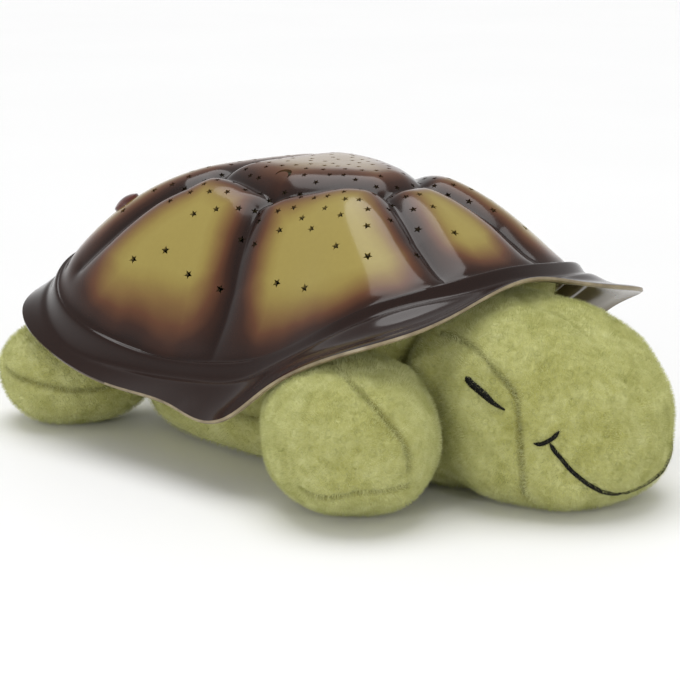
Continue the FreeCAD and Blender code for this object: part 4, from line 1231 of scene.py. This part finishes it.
def cell_mat():
    m = Mat("cell_wrap")
    sep = m.node("ShaderNodeSeparateXYZ")
    m.link(m.co, sep.inputs[0])
    n = m.noise(120.0, 2.0, 0.5)
    band = m.math("GREATER_THAN", sep.outputs[1], 0.0455)
    m.set(Base_Color=m.mix(band, m.ramp(n, [(0.3, srgb(26, 27, 30)), (0.7, srgb(40, 41, 45))]), srgb(170, 120, 60)), Roughness=0.28, Metallic=0.3, Normal=m.bump(n, 0.05, 0.0003))
    return m.m


BLACK = plastic("black_moulding", srgb(18, 18, 19), srgb(30, 30, 31), 0.5)
GREY = plastic("grey_moulding", srgb(96, 96, 94), srgb(124, 124, 120), 0.5)
BUTTON = Mat("button_gloss")
bnn = BUTTON.noise(55.0, 3.0, 0.6)
BUTTON.set(Base_Color=BUTTON.ramp(bnn, [(0.35, srgb(70, 26, 18)), (0.65, srgb(104, 44, 30))]), Roughness=0.2, Normal=BUTTON.bump(BUTTON.noise(400.0, 2.0), 0.05, 0.0003))
BUTTON.set(Coat_Weight=0.2, Coat_Roughness=0.05)
STEEL = metal("zinc_screws", (0.62, 0.62, 0.64))
NICKEL = metal("nickel_springs", (0.74, 0.72, 0.68), 0.25)
BOARD = board_mat()
CHIP = plastic("chip_black", srgb(14, 14, 15), srgb(28, 28, 30), 0.4, 300.0)
LEAD = plastic("lead_rubber", srgb(20, 20, 20), srgb(44, 44, 44), 0.55, 400.0)
CELL = cell_mat()
HOOK = plastic("hook_tape", srgb(96, 100, 54), srgb(128, 132, 80), 0.9, 1400.0, 0.9)
BY_SLOT = {"shell_plastic": SHELL_MAT, "button_plastic": BUTTON.m, "dark_plastic": BLACK, "grey_plastic": GREY, "circuit_board": BOARD, "chip_plastic": CHIP,
           "screw_steel": STEEL, "spring_steel": NICKEL, "lens_amber": lens("lens_amber", srgb(240, 150, 40)), "lens_green": lens("lens_green", srgb(60, 200, 80)),
           "lens_blue": lens("lens_blue", srgb(60, 90, 230)), "cell_wrap": CELL, "lead_rubber": LEAD, "plush": PLUSH, "belly_fabric": BELLY.m, "hook_loop": HOOK, "thread": THREAD.m}
for sp in frame["record"]["subparts"]:
    o = NODES[sp["node"]]
    mat = BY_SLOT[sp["material_slot"]]
    if not o.material_slots:
        o.data.materials.append(mat)
    for s in o.material_slots:
        s.material = mat

# ------------------------------------------------------------------ pile of the velour, seen at the outlines
for o, c, sd in ((head, 90000, 3), (fpaw, 50000, 4), (fleft, 30000, 5), (rpaw, 30000, 6), (rleft, 24000, 7), (torso, 60000, 8), (tail, 8000, 9)):
    fuzz(o, c, 2.0, 2, sd)

# ------------------------------------------------------------------ studio
def stage_plane():
    me = bpy.data.meshes.new("floor")
    s = 20.0
    me.from_pydata([(-s, -s, 0), (s, -s, 0), (s, s, 0), (-s, s, 0)], [], [(0, 1, 2, 3)])
    o = bpy.data.objects.new("floor", me)
    SCENE.collection.objects.link(o)
    m = Mat("floor_white")
    n = m.noise(3.0, 2.0, 0.5)
    m.set(Base_Color=m.ramp(n, [(0.0, (0.90, 0.90, 0.90)), (1.0, (0.93, 0.93, 0.93))]), Roughness=0.6)
    o.data.materials.append(m.m)
    return o


stage_plane()
world = bpy.data.worlds.new("studio")
SCENE.world = world
world.use_nodes = True
wt = world.node_tree
bg = wt.nodes["Background"]
bg.inputs[0].default_value = (1.0, 1.0, 1.0, 1)
wc = wt.nodes.new("ShaderNodeTexCoord")
ws = wt.nodes.new("ShaderNodeSeparateXYZ")
wm = wt.nodes.new("ShaderNodeMapRange")
wt.links.new(wc.outputs["Generated"], ws.inputs[0])
wt.links.new(ws.outputs[2], wm.inputs["Value"])
for key, v in (("From Min", 0.12), ("From Max", 0.55), ("To Min", 1.0), ("To Max", 0.48)):
    wm.inputs[key].default_value = v
wt.links.new(wm.outputs[0], bg.inputs[1])


def area(name, loc, target, size, power, size_y=None):
    d = bpy.data.lights.new(name, "AREA")
    d.shape = "RECTANGLE"
    d.size, d.size_y = size, size_y or size
    d.energy = power
    o = bpy.data.objects.new(name, d)
    SCENE.collection.objects.link(o)
    o.location = loc
    o.rotation_euler = (Vector(target) - Vector(loc)).to_track_quat("-Z", "Y").to_euler()
    return o


sun_data = bpy.data.lights.new("overhead_light", "SUN")
sun_data.energy = 1.75
sun_data.angle = math.radians(50)
sun = bpy.data.objects.new("overhead_light", sun_data)
SCENE.collection.objects.link(sun)
sun.rotation_euler = Vector((-0.10, -0.16, -1.0)).to_track_quat("-Z", "Y").to_euler()
area("side_softbox", (-1.30, -0.40, 0.42), (0, 0, 0.06), 0.20, 2.4, 0.16)
area("front_softbox", (-0.40, -1.5, 0.48), (0, 0, 0.06), 0.20, 2.4, 0.16)
